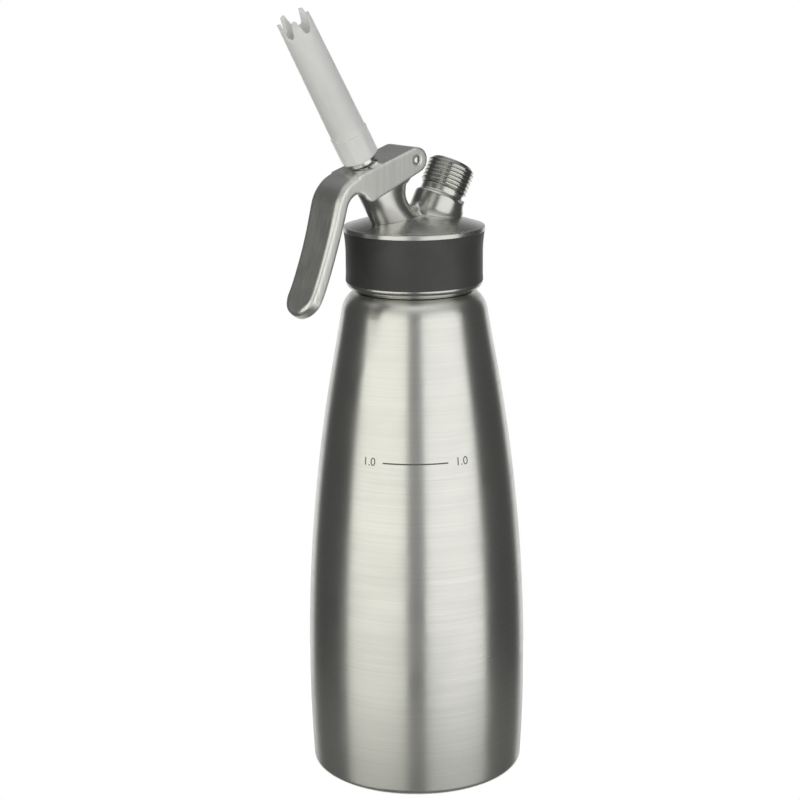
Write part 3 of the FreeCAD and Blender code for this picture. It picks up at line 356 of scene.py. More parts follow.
def leaning(foot, lean):
    return Matrix.Translation((0, 0, foot)) @ Matrix.Rotation(lean, 4, "Y")


def on_valve():
    return leaning(VALVE_FOOT, VALVE_LEAN)


def on_port():
    return leaning(PORT_FOOT, PORT_LEAN)


def copy_of(node, name):
    """A merged copy of a CAD node that can be shaped further."""
    source = frame["nodes"][node]
    pick(source)
    bpy.ops.object.duplicate()
    piece = named(name)
    bpy.ops.object.parent_clear(type="CLEAR")
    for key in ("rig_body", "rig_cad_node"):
        del piece[key]
    piece.data.materials.clear()
    bpy.ops.mesh.customdata_custom_splitnormals_clear()
    bpy.ops.object.mode_set(mode="EDIT")
    bpy.ops.mesh.select_all(action="SELECT")
    bpy.ops.mesh.remove_doubles(threshold=SAME_PLACE)
    bpy.ops.object.mode_set(mode="OBJECT")
    return piece


def between(value, table):
    """Straight-line reading between the rows of a table of places and values."""
    for (start, low), (stop, high) in zip(table, table[1:]):
        if value <= stop:
            return low + (high - low) * max(0.0, value - start) / (stop - start)
    return table[-1][1]


def fade(value, start, stop):
    """Smooth step from 0 at start to 1 at stop."""
    share = min(1.0, max(0.0, (value - start) / (stop - start)))
    return share * share * (3 - 2 * share)


def soften(piece, grid, passes, weight_at):
    """Skins the piece again on an even grid, then smooths it by a weight that its place gives."""
    add_modifier(piece, "REMESH", mode="VOXEL", voxel_size=grid, use_smooth_shade=True)
    group = piece.vertex_groups.new(name="softening")
    for vertex in piece.data.vertices:
        group.add([vertex.index], weight_at(vertex.co / MM), "REPLACE")
    add_modifier(piece, "SMOOTH", factor=0.5, iterations=passes, vertex_group=group.name)
    piece.vertex_groups.clear()


def dome_height(radius):
    """Height of the head's dome at a radius, in millimetres."""
    centre = DOME_RIM_HEIGHT - math.sqrt(DOME_RADIUS ** 2 - DOME_RIM ** 2)
    return centre + math.sqrt(DOME_RADIUS ** 2 - radius ** 2)


def room_above_dome(lift):
    """All that lies over the head's dome by more than the lift, as a tool for cuts."""
    slope = [(DOME_RIM * share / 24, dome_height(DOME_RIM * share / 24) + lift) for share in range(25)]
    return turned_piece("room_above_dome", [*slope, (DOME_RIM, 249.2), (45, 249.2), (45, 300), (0, 300)])


# ---- Finishes ----

def add_node(tree, kind, inputs=None, **settings):
    """Adds a node, sets its settings, and sets or links its inputs."""
    node = tree.nodes.new(kind)
    node.location = (200 * len(tree.nodes), 0)
    for key, value in settings.items():
        setattr(node, key, value)
    for key, value in (inputs or {}).items():
        if isinstance(value, bpy.types.NodeSocket):
            tree.links.new(value, node.inputs[key])
        else:
            node.inputs[key].default_value = value
    return node


def math_node(tree, operation, first, second=0.0):
    return add_node(tree, "ShaderNodeMath", {0: first, 1: second}, operation=operation).outputs[0]


def map_range(tree, value, low, high, to_low=0.0, to_high=1.0, **settings):
    """Maps a span of values onto another, held at its ends."""
    return add_node(tree, "ShaderNodeMapRange", {
        "Value": value, "From Min": low, "From Max": high, "To Min": to_low, "To Max": to_high},
        **settings).outputs[0]


def effect(name, inputs, outputs, fill):
    """A node group with named sockets; fill builds it and returns what each output is linked from."""
    group = bpy.data.node_groups.get(name)
    if group is not None:
        return group
    group = bpy.data.node_groups.new(name, "ShaderNodeTree")
    for label, kind, value in inputs:
        socket = group.interface.new_socket(label, in_out="INPUT", socket_type=kind)
        if value is not None:
            socket.default_value = value
    for label, kind in outputs:
        group.interface.new_socket(label, in_out="OUTPUT", socket_type=kind)
    start = group.nodes.new("NodeGroupInput")
    made = fill(group, start.outputs)
    end = group.nodes.new("NodeGroupOutput")
    for label, socket in made.items():
        group.links.new(socket, end.inputs[label])
    return group


def use_effect(tree, group, inputs):
    return add_node(tree, "ShaderNodeGroup", inputs, node_tree=group).outputs


def brush_lines():
    """Fine scratches that run along the coordinates' slow direction, in two widths."""
    def fill(tree, start):
        fine = add_node(tree, "ShaderNodeTexNoise", {
            "Vector": start["Vector"], "Scale": 1.0, "Detail": 2.0, "Roughness": 0.6})
        wide_place = add_node(tree, "ShaderNodeVectorMath", {
            0: start["Vector"], "Scale": 0.23}, operation="SCALE")
        wide = add_node(tree, "ShaderNodeTexNoise", {
            "Vector": wide_place.outputs[0], "Scale": 1.0, "Detail": 2.0, "Roughness": 0.5})
        share = math_node(tree, "MULTIPLY", fine.outputs[0], 0.6)
        rest = math_node(tree, "MULTIPLY", wide.outputs[0], 0.4)
        lines = math_node(tree, "ADD", share, rest)
        return {"Lines": map_range(tree, lines, 0.34, 0.66)}
    return effect("Brush lines", [("Vector", "NodeSocketVector", None)],
                  [("Lines", "NodeSocketFloat")], fill)


def handling():
    """Soft patches that change a surface's gloss, as wiping and handling do."""
    def fill(tree, start):
        patches = add_node(tree, "ShaderNodeTexNoise", {
            "Vector": start["Vector"], "Scale": start["Scale"], "Detail": 3.0, "Roughness": 0.55,
            "Distortion": 0.4})
        spread = map_range(tree, patches.outputs[0], 0.35, 0.68, interpolation_type="SMOOTHSTEP")
        return {"Patches": spread}
    return effect("Handling", [("Vector", "NodeSocketVector", None), ("Scale", "NodeSocketFloat", 40.0)],
                  [("Patches", "NodeSocketFloat")], fill)


def edge_wear_and_highlight():
    """Mask of the convex and concave edges within a radius, where colour is lightened for worn edges and a
    painted edge highlight, and the normal rounded there.
    """
    def fill(tree, start):
        rounded = add_node(tree, "ShaderNodeBevel", {"Radius": start["Radius"]}, samples=6)
        true = add_node(tree, "ShaderNodeNewGeometry")
        across = add_node(tree, "ShaderNodeVectorMath", {
            0: rounded.outputs[0], 1: true.outputs["Normal"]}, operation="DOT_PRODUCT")
        edge = map_range(tree, across.outputs["Value"], 0.995, 0.86)
        return {"Edge": edge, "Normal": rounded.outputs[0]}
    return effect("Edge wear and highlight", [("Radius", "NodeSocketFloat", 0.3 * MM)],
                  [("Edge", "NodeSocketFloat"), ("Normal", "NodeSocketVector")], fill)


def new_material(name):
    material = bpy.data.materials.new(name)
    material.use_nodes = True
    return material, material.node_tree, material.node_tree.nodes["Principled BSDF"]


def object_place(tree, turn=(0, 0, 0), scale=(1, 1, 1)):
    """Object coordinates, turned and scaled for one pattern."""
    place = add_node(tree, "ShaderNodeTexCoord")
    return add_node(tree, "ShaderNodeMapping", {
        "Vector": place.outputs["Object"], "Rotation": turn, "Scale": scale}).outputs[0]


def shade_of(value, share):
    return (*[min(1.0, channel * share) for channel in value[:3]], 1.0)


def mix_colour(tree, factor, first, second):
    return add_node(tree, "ShaderNodeMix", {0: factor, 6: first, 7: second}, data_type="RGBA").outputs[2]


def steel(name, tint, scale, rough, depth, lean=0, stretch=0.0, axis=None, edge=0.3, contrast=0.10):
    """Brushed steel: lines run along the pattern's slow axis, and stretch and axis draw out reflections."""
    material, tree, shader = new_material(name)
    place = object_place(tree, (0, math.radians(lean), 0), scale)
    lines = use_effect(tree, brush_lines(), {"Vector": place})[0]
    patches = use_effect(tree, handling(), {"Vector": object_place(tree), "Scale": 38.0})[0]
    wear_and_highlight = use_effect(tree, edge_wear_and_highlight(), {"Radius": edge * MM})
    tone = mix_colour(tree, lines, shade_of(tint, 1 - contrast), shade_of(tint, 1 + contrast / 2))
    # Edges, concave as well as convex, are lightened: partly wear, partly a painted highlight.
    worn_and_highlit = mix_colour(tree, wear_and_highlight["Edge"], tone, shade_of(tint, 1.22))
    tree.links.new(worn_and_highlit, shader.inputs["Base Color"])
    low, high = rough
    gloss = map_range(tree, lines, 0.0, 1.0, high, low)
    dulled = math_node(tree, "ADD", gloss, math_node(tree, "MULTIPLY", patches, 0.05))
    tree.links.new(dulled, shader.inputs["Roughness"])
    bump = add_node(tree, "ShaderNodeBump", {
        "Strength": 0.6, "Distance": depth * MM, "Height": lines, "Normal": wear_and_highlight["Normal"]})
    tree.links.new(bump.outputs[0], shader.inputs["Normal"])
    shader.inputs["Metallic"].default_value = 1.0
    shader.inputs["Anisotropic"].default_value = stretch
    if axis is not None:
        tangent = add_node(tree, "ShaderNodeTangent", direction_type="RADIAL", axis=axis)
        tree.links.new(tangent.outputs[0], shader.inputs["Tangent"])
        shader.inputs["Anisotropic Rotation"].default_value = 0.25
    return material


def soft_plastic(name, tint, rough, grain, depth=0.02, sheen=0.0, under=0.0, edge=0.25, contrast=0.12):
    """Moulded rubber or plastic with a fine even grain and slightly lighter edges, partly wear and partly a
    painted highlight.
    """
    material, tree, shader = new_material(name)
    place = object_place(tree)
    pores = add_node(tree, "ShaderNodeTexNoise", {
        "Vector": place, "Scale": grain, "Detail": 3.0, "Roughness": 0.6})
    patches = use_effect(tree, handling(), {"Vector": place, "Scale": 60.0})[0]
    wear_and_highlight = use_effect(tree, edge_wear_and_highlight(), {"Radius": edge * MM})
    tone = mix_colour(tree, patches, shade_of(tint, 1 + contrast), shade_of(tint, 1 - contrast / 2))
    # Lighter edges, concave as well as convex: partly wear, partly a painted highlight.
    worn_and_highlit = mix_colour(tree, math_node(tree, "MULTIPLY", wear_and_highlight["Edge"], 0.5), tone, shade_of(tint, 1.35))
    tree.links.new(worn_and_highlit, shader.inputs["Base Color"])
    low, high = rough
    gloss = map_range(tree, patches, 0.0, 1.0, low, high)
    tree.links.new(gloss, shader.inputs["Roughness"])
    bump = add_node(tree, "ShaderNodeBump", {
        "Strength": 0.5, "Distance": depth * MM, "Height": pores.outputs[0], "Normal": wear_and_highlight["Normal"]})
    tree.links.new(bump.outputs[0], shader.inputs["Normal"])
    shader.inputs["Sheen Weight"].default_value = sheen
    shader.inputs["Subsurface Weight"].default_value = under
    shader.inputs["Subsurface Radius"].default_value = (1.0, 1.0, 1.0)
    shader.inputs["Subsurface Scale"].default_value = 2.5 * MM
    return material


# Each finish: how it is made, its material's name, its colour and its look.
FINISHES = {
    "bottle_steel": (steel, "Brushed bottle steel", "bottle", dict(
        scale=(26, 26, 3600), rough=(0.27, 0.33), depth=0.007, stretch=0.72, axis="Z", contrast=0.06)),
    "cast_steel": (steel, "Satin head steel", "casting", dict(
        scale=(130, 130, 400), rough=(0.24, 0.265), depth=0.0004, contrast=0.03)),
    "lever_steel": (steel, "Brushed lever steel", "lever", dict(
        lean=-19, scale=(1900, 1900, 60), rough=(0.30, 0.41), depth=0.008, edge=0.5, contrast=0.13)),
    "turned_steel": (steel, "Turned steel", "turned", dict(
        lean=30, scale=(60, 60, 3000), rough=(0.16, 0.24), depth=0.008, edge=0.12, contrast=0.08)),
    "thread": (steel, "Thread steel", "casting", dict(
        lean=-29, scale=(60, 60, 3000), rough=(0.15, 0.21), depth=0.003, edge=0.04, contrast=0.08)),
    "spring_steel": (steel, "Spring wire", "wire", dict(
        scale=(600, 600, 600), rough=(0.20, 0.30), depth=0.004, edge=0.05)),
    "silicone": (soft_plastic, "Sleeve silicone", "sleeve", dict(
        rough=(0.46, 0.54), grain=2600, depth=0.025, sheen=0.10)),
    "seal_silicone": (soft_plastic, "Gasket silicone", "gasket", dict(
        rough=(0.38, 0.48), grain=1500, under=0.15)),
    "seal_rubber": (soft_plastic, "Seal rubber", "seal", dict(rough=(0.45, 0.55), grain=2600)),
    "tip_plastic": (soft_plastic, "Tip plastic", "tip", dict(
        rough=(0.30, 0.38), grain=420, under=0.85, edge=0.2, contrast=0.03)),
    "etched": (soft_plastic, "Etched steel", "mark", dict(rough=(0.55, 0.70), grain=3000, edge=0.02)),
}
made_finishes = {}


def finish_of(name):
    """The finish's material, made when it is first asked for."""
    if name not in made_finishes:
        make, label, tint, look = FINISHES[name]
        made_finishes[name] = make(label, colour(tint), **look)
    return made_finishes[name]


def dress_node(node, finish):
    """Gives a CAD node its finish and leaves its mesh alone."""
    for slot in frame["nodes"][node].material_slots:
        slot.material = finish_of(finish)


def dress(piece, body, finish, slot, *stands_for):
    """Gives a new piece its finish, its body and the nodes that it stands for; the slot argument is not
    used.
    """
    piece.data.materials.clear()
    piece.data.materials.append(finish_of(finish))
    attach(piece, body)
    if stands_for:
        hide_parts(*stands_for)


# ---- Pieces ----

class WHIPPER_OT_bottle(bpy.types.Operator):
    """Brushed bottle with the rolled thread round its neck"""
    bl_idname = "whipper.bottle"
    bl_label = "Bottle"

    def execute(self, context):
        dress_node("bottle", "bottle_steel")
        size = sizes()
        neck, foot = 24.6 * MM, 229.5 * MM
        thread = thread_bead("neck_thread", neck, size.neck_bead, coupling_pitch("head_lift"),
                             size.neck_turns, foot)
        dress(thread, "bottle", "bottle_steel", "bottle_steel")
        dress_node("head_gasket", "seal_silicone")
        return {"FINISHED"}


class WHIPPER_OT_head(bpy.types.Operator):
    """Head casting with its blended column and port, its lip and its threads"""
    bl_idname = "whipper.head"
    bl_label = "Head"

    def execute(self, context):
        size = sizes()
        casting = self.make_casting()
        column = self.make_column(casting, size)
        self.crown_dome(casting)
        even_shading(casting)
        dress(casting, "head", "cast_steel", "cast_steel", "head")
        dress(column, "head", "cast_steel", "cast_steel", "head")
        dress(self.make_lip(), "head", "cast_steel", "cast_steel")
        dress(self.make_port_thread(size), "head", "thread", "cast_steel")
        bore, foot = 25.2 * MM, 226.0 * MM
        skirt = thread_bead("skirt_thread", bore, size.neck_bead * 0.9, coupling_pitch("head_lift"),
                            size.neck_turns, foot, start_angle=math.pi)
        dress(skirt, "head", "thread", "cast_steel")
        return {"FINISHED"}

    def make_casting(self):
        """The CAD head without its lip and the plain end of its port, where other pieces go."""
        casting = copy_of("head", "head_casting")
        to_port = on_port().inverted()
        spots = [to_port @ vertex.co / MM for vertex in casting.data.vertices]
        near = 0.15
        on_end = [spot.z > THREAD_FOOT - near and SOCKET - near < math.hypot(spot.x, spot.y) < BOSS + 1
                  for spot in spots]
        on_floor = [abs(spot.z - SOCKET_FLOOR) < near for spot in spots]
        for face in casting.data.polygons:
            face.select = (all(on_end[index] for index in face.vertices)
                           and not all(on_floor[index] for index in face.vertices))
        for part in (casting.data.edges, casting.data.vertices):
            part.foreach_set("select", [False] * len(part))
        bpy.ops.object.mode_set(mode="EDIT")
        bpy.ops.mesh.select_mode(type="FACE")
        bpy.ops.mesh.delete(type="FACE")
        bpy.ops.mesh.select_mode(type="EDGE")
        bpy.ops.mesh.select_all(action="DESELECT")
        bpy.ops.mesh.select_non_manifold(extend=False, use_wire=False, use_boundary=True,
                                         use_multi_face=False, use_non_contiguous=False, use_verts=False)
        bpy.ops.mesh.bridge_edge_loops()
        bpy.ops.object.mode_set(mode="OBJECT")
        old_lip = turned_piece("old_lip", [(26.3, 219), (32, 219), (32, 224.1), (26.3, 224.1)])
        cut_with(casting, old_lip, "DIFFERENCE")
        return casting

    def crown_dome(self, casting):
        """Raises the casting's plate to its crowned dome and opens its passages again."""
        inside = DOME_RIM - 0.1
        crown = turned_piece("crown", [(0, 248), (inside, 248), (inside, 255), (0, 255)])
        cut_with(casting, crown, "UNION")
        cut_with(casting, room_above_dome(0.0), "DIFFERENCE")
        for passage in self.passages():
            cut_with(casting, passage, "DIFFERENCE")

    def passages(self):
        """Tools for the valve's bore and the gas way."""
        bore = turned_piece("bore", [
            (0, BORE_FOOT), (STEM_BORE, BORE_FOOT), (STEM_BORE, SPRING_SEAT), (SPRING_POCKET, SPRING_SEAT),
            (SPRING_POCKET, BEYOND), (0, BEYOND)], on_valve(), FINE_LATHE_STEPS)
        gas_way = turned_piece("gas_way", [
            (0, CHAMBER_FOOT), (CHECK_CHAMBER, CHAMBER_FOOT), (CHECK_CHAMBER, CHECK_SEAT),
            (GAS_WAY, CHECK_SEAT), (GAS_WAY, SEAL_BED), (SEAL_POCKET, SEAL_BED),
            (SEAL_POCKET, SOCKET_FLOOR), (SOCKET, SOCKET_FLOOR), (SOCKET, BEYOND), (0, BEYOND)],
            on_port(), FINE_LATHE_STEPS)
        return bore, gas_way

    def make_column(self, casting, size):
        """Valve column and port boss with their flared feet, blended into each other, down to the dome."""
        pick(casting)
        bpy.ops.object.duplicate()
        column = named("valve_column")
        cut_with(column, block("ear_room", (-45, -20, 268), (1, 20, 300)), "INTERSECT")
        pillar = lofted_piece("pillar", [self.pillar_ring(height) for height in (
            247, *range(250, 270), 269.5)])
        below_top = turned_piece("below_top", [(0, -20), (30, -20), (30, COLUMN_TOP), (0, COLUMN_TOP)],
                                 on_valve())
        cut_with(pillar, below_top, "INTERSECT")
        across, along = BOSS - BOSS_ROUNDING, BOSS_TOP - BOSS_ROUNDING
        shoulder = [(across + BOSS_ROUNDING * math.cos(angle), along + BOSS_ROUNDING * math.sin(angle))
                    for angle in (QUARTER_TURN * share / 6 for share in range(7))]
        boss = turned_piece("boss", [
            (0, 12), (BOSS, 12), *shoulder, (PORT_NECK, BOSS_TOP), (PORT_NECK, THREAD_FOOT),
            (0, THREAD_FOOT)], on_port())
        boss_foot = lofted_piece("boss_foot", [self.boss_ring(height) for height in (
            247, *(251 + share / 2 for share in range(13)))])
        web = block("web", (-10, -2.5, 249), (3, 4.5, 257.5))
        pick(column)
        for part in (pillar, boss, boss_foot, web):
            part.select_set(True)
        bpy.ops.object.join()
        soften(column, size.casting_grain, size.column_passes, self.blend_at)
        cut_with(column, room_above_dome(0.02), "INTERSECT")
        for passage in self.passages():
            cut_with(column, passage, "DIFFERENCE")
        smooth(column, CAST_ANGLE)
        return column

    def pillar_ring(self, height):
        """Level ellipse round the valve's column, hollow towards the port and flared at its foot."""
        rights = (
            (250, 6.8), (251, 5.3), (252, 3.9), (253, 2.7), (254, 1.7), (255, 0.8), (256, 0.0), (257, -0.9),
            (258, -1.8), (259, -2.35), (260, -2.8), (261, -3.2), (262, -3.47), (264, -3.6), (267, -3.24),
            (280, -3.2))
        half_y, beside_axis = 8.0, 8.9
        left = COLUMN_ACROSS * (height - VALVE_FOOT / MM) * math.tan(VALVE_LEAN) - beside_axis
        right = between(height, rights)
        half = (right - left) / 2
        half_x = math.sqrt(half ** 2 - (COLUMN_DEEP * half_y) ** 2) / COLUMN_ACROSS
        return (left + right) / 2 / COLUMN_ACROSS, height, half_x, half_y

    def boss_ring(self, height):
        """Level ellipse round the port's boss, wider towards the dome in a hollow flare."""
        hollow, start, deepest, inside = 6.8, 256.2, 4.2, 0.02
        depth = max(0.0, min(deepest, start - height))
        flare = hollow - math.sqrt(hollow ** 2 - depth ** 2) - inside
        centre = (height - PORT_FOOT / MM) * math.tan(PORT_LEAN)
        return centre, height, BOSS / math.cos(PORT_LEAN) + flare, BOSS + flare

    def blend_at(self, spot):
        """How much the column is smoothed at a place: most in its valley, least at its ends."""
        valley = 1 - fade(math.hypot(spot.x + 3.0, spot.z - 258), 3.0, 8.0)
        seam = 1 - fade(abs(spot.z - 268.5), 1.0, 4.0) if spot.x < 0 else 0.0
        ends = 1 - fade(spot.z, 269.0, 273.0) if spot.x < 0 else 1.0
        port_spot = on_port().inverted() @ (spot * MM) / MM
        neck = 1 - fade(port_spot.z, 27.5, 30.5) if spot.x > 4 else 1.0
        return max(0.03, max(0.6 * valley, 0.5 * seam, 0.10) * ends * neck)

    def make_lip(self):
        """Fuller round lip under the sleeve."""
        inner, outer, bottom, top = 26.2, 30.1, 220.65, 224.5
        start, reach, edge = 26.7, 3.4, 224.1
        bulge = [(start + reach * math.sin(angle), edge - (edge - bottom) * math.cos(angle))
                 for angle in (QUARTER_TURN * share / 12 for share in range(13))]
        lip = turned_piece("head_lip", [(inner, bottom), *bulge, (outer, top), (inner, top)])
        smooth(lip)
        return lip

    def make_port_thread(self, size):
        """A screw of sharp ridges, trimmed to the port's chamfered end and bored for the charger."""
        crest, top, foot = PORT_CREST, PORT_TOP, THREAD_FOOT
        pitch = size.port_thread_pitch / MM
        root = crest - size.port_thread_depth / MM
        line = [(root, 0), (root, pitch * 0.16), (crest, pitch * 0.47), (crest, pitch * 0.60),
                (root, pitch * 0.91), (root, pitch)]
        points = profile([(radius, height + foot - 2 * pitch) for radius, height in line])
        ridges = start_point("port_thread", points[0])
        draw_line(points)
        bpy.ops.object.mode_set(mode="OBJECT")
        count = math.ceil((top - foot) / pitch) + 4
        add_modifier(ridges, "SCREW", axis="Z", angle=FULL_TURN, screw_offset=pitch * MM, iterations=count,
                     steps=96, render_steps=96, use_merge_vertices=True, merge_threshold=SAME_PLACE)
        close_ends(ridges)
        envelope = turned_piece("port_envelope", [
            (8.0, top - 0.3), (8.3, top), (crest - 1.6, top), (crest + 0.1, top - 1.7),
            (crest + 0.1, foot + 0.7), (PORT_NECK, foot), (8.0, 38.5)])
        cut_with(ridges, envelope, "INTERSECT")
        settle(ridges, on_port())
        smooth(ridges)
        return ridges


class WHIPPER_OT_sleeve(bpy.types.Operator):
    """Silicone sleeve round the head"""
    bl_idname = "whipper.sleeve"
    bl_label = "Grip sleeve"

    def execute(self, context):
        low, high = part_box("grip_band")
        bottom, top = low.z / MM - 0.6, high.z / MM
        seat, waist, flare, waist_height = 28.6, 30.15, high.x / MM, 236.0
        reach, step = top - waist_height, flare - waist
        hollow = (reach ** 2 + step ** 2) / (2 * step)
        bend = math.asin(reach / hollow)
        steps = 10
        curve = [(waist + hollow * (1 - math.cos(bend * share / steps)),
                  waist_height + hollow * math.sin(bend * share / steps)) for share in range(steps + 1)]
        sleeve = turned_piece("grip_sleeve", [
            (seat, bottom), (waist + 0.15, bottom), (waist + 0.12, bottom + 1.2), (waist, bottom + 3.5),
            *curve, (seat, top)])
        add_modifier(sleeve, "BEVEL", width=sizes().sleeve_rounding, segments=4, limit_method="ANGLE",
                     angle_limit=math.radians(40), use_clamp_overlap=True)
        even_shading(sleeve)
        dress(sleeve, "head", "silicone", "silicone", "grip_band")
        return {"FINISHED"}


class WHIPPER_OT_lever(bpy.types.Operator):
    """Brushed lever and the pin that it turns on"""
    bl_idname = "whipper.lever"
    bl_label = "Lever"

    def execute(self, context):
        lever = copy_of("lever", "squeeze_lever")
        arm_side, arm_start, widening = (8.4 * MM, 9.2 * MM), -30 * MM, 0.071
        for vertex in lever.data.vertices:
            if arm_side[0] < abs(vertex.co.y) < arm_side[1] and vertex.co.x < arm_start:
                vertex.co.y *= 1 + widening * fade(vertex.co.z / MM, 240, 262)
        soften(lever, sizes().lever_grain, sizes().lever_passes, self.soften_at)
        low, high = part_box("lever_pin")
        radius, half = (high.x - low.x) / 2 / MM, high.y / MM
        dome = sizes().pin_dome / MM
        near_end = [(radius * math.sin(angle), half - dome + dome * math.cos(angle))
                    for angle in (QUARTER_TURN * share / 6 for share in range(7))]
        far_end = [(across, -along) for across, along in reversed(near_end)]
        middle = (low + high) / 2
        place = Matrix.Translation((middle.x, 0, middle.z)) @ Matrix.Rotation(QUARTER_TURN, 4, "X")
        pin = turned_piece("cross_pin", [*near_end, *far_end], place, steps=48)
        smooth(pin, CAST_ANGLE)
        dress(pin, "head", "turned_steel", "turned_steel", "lever_pin")
        snug, rebate, rebate_depth, depth = 1.52, 1.95, 0.4, 2.5
        for side in (-1, 1):
            place = (Matrix.Translation((middle.x, side * high.y, middle.z))
                     @ Matrix.Rotation(side * QUARTER_TURN, 4, "X"))
            hole = turned_piece("pin_hole", [
                (0, -0.5), (0, depth), (snug, depth), (snug, rebate_depth), (rebate, rebate_depth),
                (rebate, -0.5)], place, steps=48)
            cut_with(lever, hole, "DIFFERENCE")
        smooth(lever, CAST_ANGLE)
        dress(lever, "lever", "lever_steel", "lever_steel", "lever")
        return {"FINISHED"}

    def soften_at(self, spot):
        """Cast edges are soft all over, and softest where the arm runs into the cheeks."""
        step = 1 - fade(math.hypot(spot.x + 37, spot.z - 264), 5.0, 9.0)
        return max(0.3, 0.9 * step)


class WHIPPER_OT_valve(bpy.types.Operator):
    """Piston with its seals, collar, rings, springs and the thread on its stem"""
    bl_idname = "whipper.valve"
    bl_label = "Valve"

    def execute(self, context):
        for node in ("piston", "drive_collar", "tip_seat_ring", "tip_insert"):
            dress_node(node, "turned_steel")
        for node in ("valve_seal", "stem_o_ring"):
            dress_node(node, "seal_rubber")
        size = sizes()
        coil_spring("valve_spring", "piston_spring", on_valve(), size.spring_coil, size.spring_wire,
                    size.spring_turns)
        stem, turns, foot = 4.0 * MM, 4.6, 60.2 * MM
        thread = thread_bead("stem_thread", stem, size.stem_bead, coupling_pitch("tip_lift"), turns, foot,
                             place=on_valve())
        dress(thread, "piston", "turned_steel", "turned_steel")
        return {"FINISHED"}


class WHIPPER_OT_gas_side(bpy.types.Operator):
    """Charger seal, piercing pin and check valve"""
    bl_idname = "whipper.gas_side"
    bl_label = "Gas side"

    def execute(self, context):
        for node in ("charger_seal", "check_poppet"):
            dress_node(node, "seal_rubber")
        for node in ("piercing_pin", "check_retainer"):
            dress_node(node, "turned_steel")
        size = sizes()
        coil_spring("gas_spring", "check_spring", on_port(), size.gas_spring_coil, size.gas_spring_wire,
                    size.spring_turns)
        return {"FINISHED"}


class WHIPPER_OT_tip(bpy.types.Operator):
    """Decorator tip with the flats of its collar"""
    bl_idname = "whipper.tip"
    bl_label = "Decorator tip"

    def execute(self, context):
        size = sizes()
        tip = copy_of("decorator_tip", "whipper_tip")
        flat_to_axis, step, bottom = 7.9 * MM, 71.4 * MM, 59.0 * MM
        deselect()
        bpy.ops.mesh.primitive_cylinder_add(
            vertices=size.tip_flats, radius=flat_to_axis / math.cos(math.pi / size.tip_flats),
            depth=step - bottom, location=(0, 0, (step + bottom) / 2))
        tool = named("collar_flats")
        bpy.ops.object.transform_apply(location=True, rotation=True, scale=True)
        bpy.ops.object.mode_set(mode="EDIT")
        bpy.ops.mesh.select_mode(type="FACE")
        bpy.ops.mesh.select_all(action="DESELECT")
        bpy.ops.object.mode_set(mode="OBJECT")
        for face in tool.data.polygons:
            face.select = face.normal.z > 0.9
        bpy.ops.object.mode_set(mode="EDIT")
        bpy.ops.mesh.extrude_region_move(TRANSFORM_OT_translate={"value": (0, 0, 0)})
        bpy.ops.transform.resize(value=(1.5, 1.5, 1), center_override=(0, 0, step))
        bpy.ops.mesh.extrude_region_move(TRANSFORM_OT_translate={"value": (0, 0, 70 * MM)})
        bpy.ops.object.mode_set(mode="OBJECT")
        settle(tool, on_valve())
        cut_with(tip, tool, "INTERSECT")
        even_shading(tip)
        dress(tip, "tip", "tip_plastic", "tip_plastic", "decorator_tip")
        return {"FINISHED"}


class WHIPPER_OT_fill_mark(bpy.types.Operator):
    """Etched fill line and its plain numbers on the bottle"""
    bl_idname = "whipper.fill_mark"
    bl_label = "Fill mark"

    def execute(self, context):
        size = sizes()
        letter_per_digit, number_turn = 1.4, math.radians(28.2)
        deselect()
        bpy.ops.mesh.primitive_plane_add(size=1)
        line = named("fill_line")
        line.scale = (size.mark_length, size.mark_width, 1)
        bpy.ops.object.transform_apply(location=True, rotation=True, scale=True)
        bpy.ops.object.mode_set(mode="EDIT")
        bpy.ops.mesh.select_all(action="SELECT")
        bpy.ops.mesh.subdivide(number_cuts=40)
        bpy.ops.object.mode_set(mode="OBJECT")
        self.lay_on(line, 0.0)
        for side, name in ((-1, "fill_number_left"), (1, "fill_number_right")):
            deselect()
            bpy.ops.object.text_add()
            text = named(name)
            text.data.body = "1.0"
            text.data.align_x = "CENTER"
            text.data.align_y = "CENTER"
            text.data.size = size.digit_height * letter_per_digit
            bpy.ops.object.convert(target="MESH")
            self.lay_on(named(name), side * number_turn)
        return {"FINISHED"}

    def lay_on(self, piece, angle):
        """Stands the flat shape before the bottle and projects it on the wall as a thin skin."""
        clear_of_wall, proud, skin = 63.9 * MM, 0.03 * MM, 0.05 * MM
        around = Matrix.Rotation(angle - CAMERA_TURN, 4, "Z")
        upright = Matrix.Rotation(QUARTER_TURN, 4, "X")
        before = Matrix.Translation((0, -clear_of_wall, sizes().mark_height))
        settle(piece, around @ before @ upright)
        facing = around.to_3x3() @ Vector((0, -1, 0))
        for vertex in piece.data.vertices:
            hit, spot, _, _ = frame["nodes"]["bottle"].ray_cast(vertex.co, -facing)
            if not hit:
                raise RuntimeError(f"{piece.name} misses the bottle")
            vertex.co = spot + facing * proud
        add_modifier(piece, "SOLIDIFY", thickness=skin, offset=-1.0)
        dress(piece, "bottle", "etched", "bottle_steel")


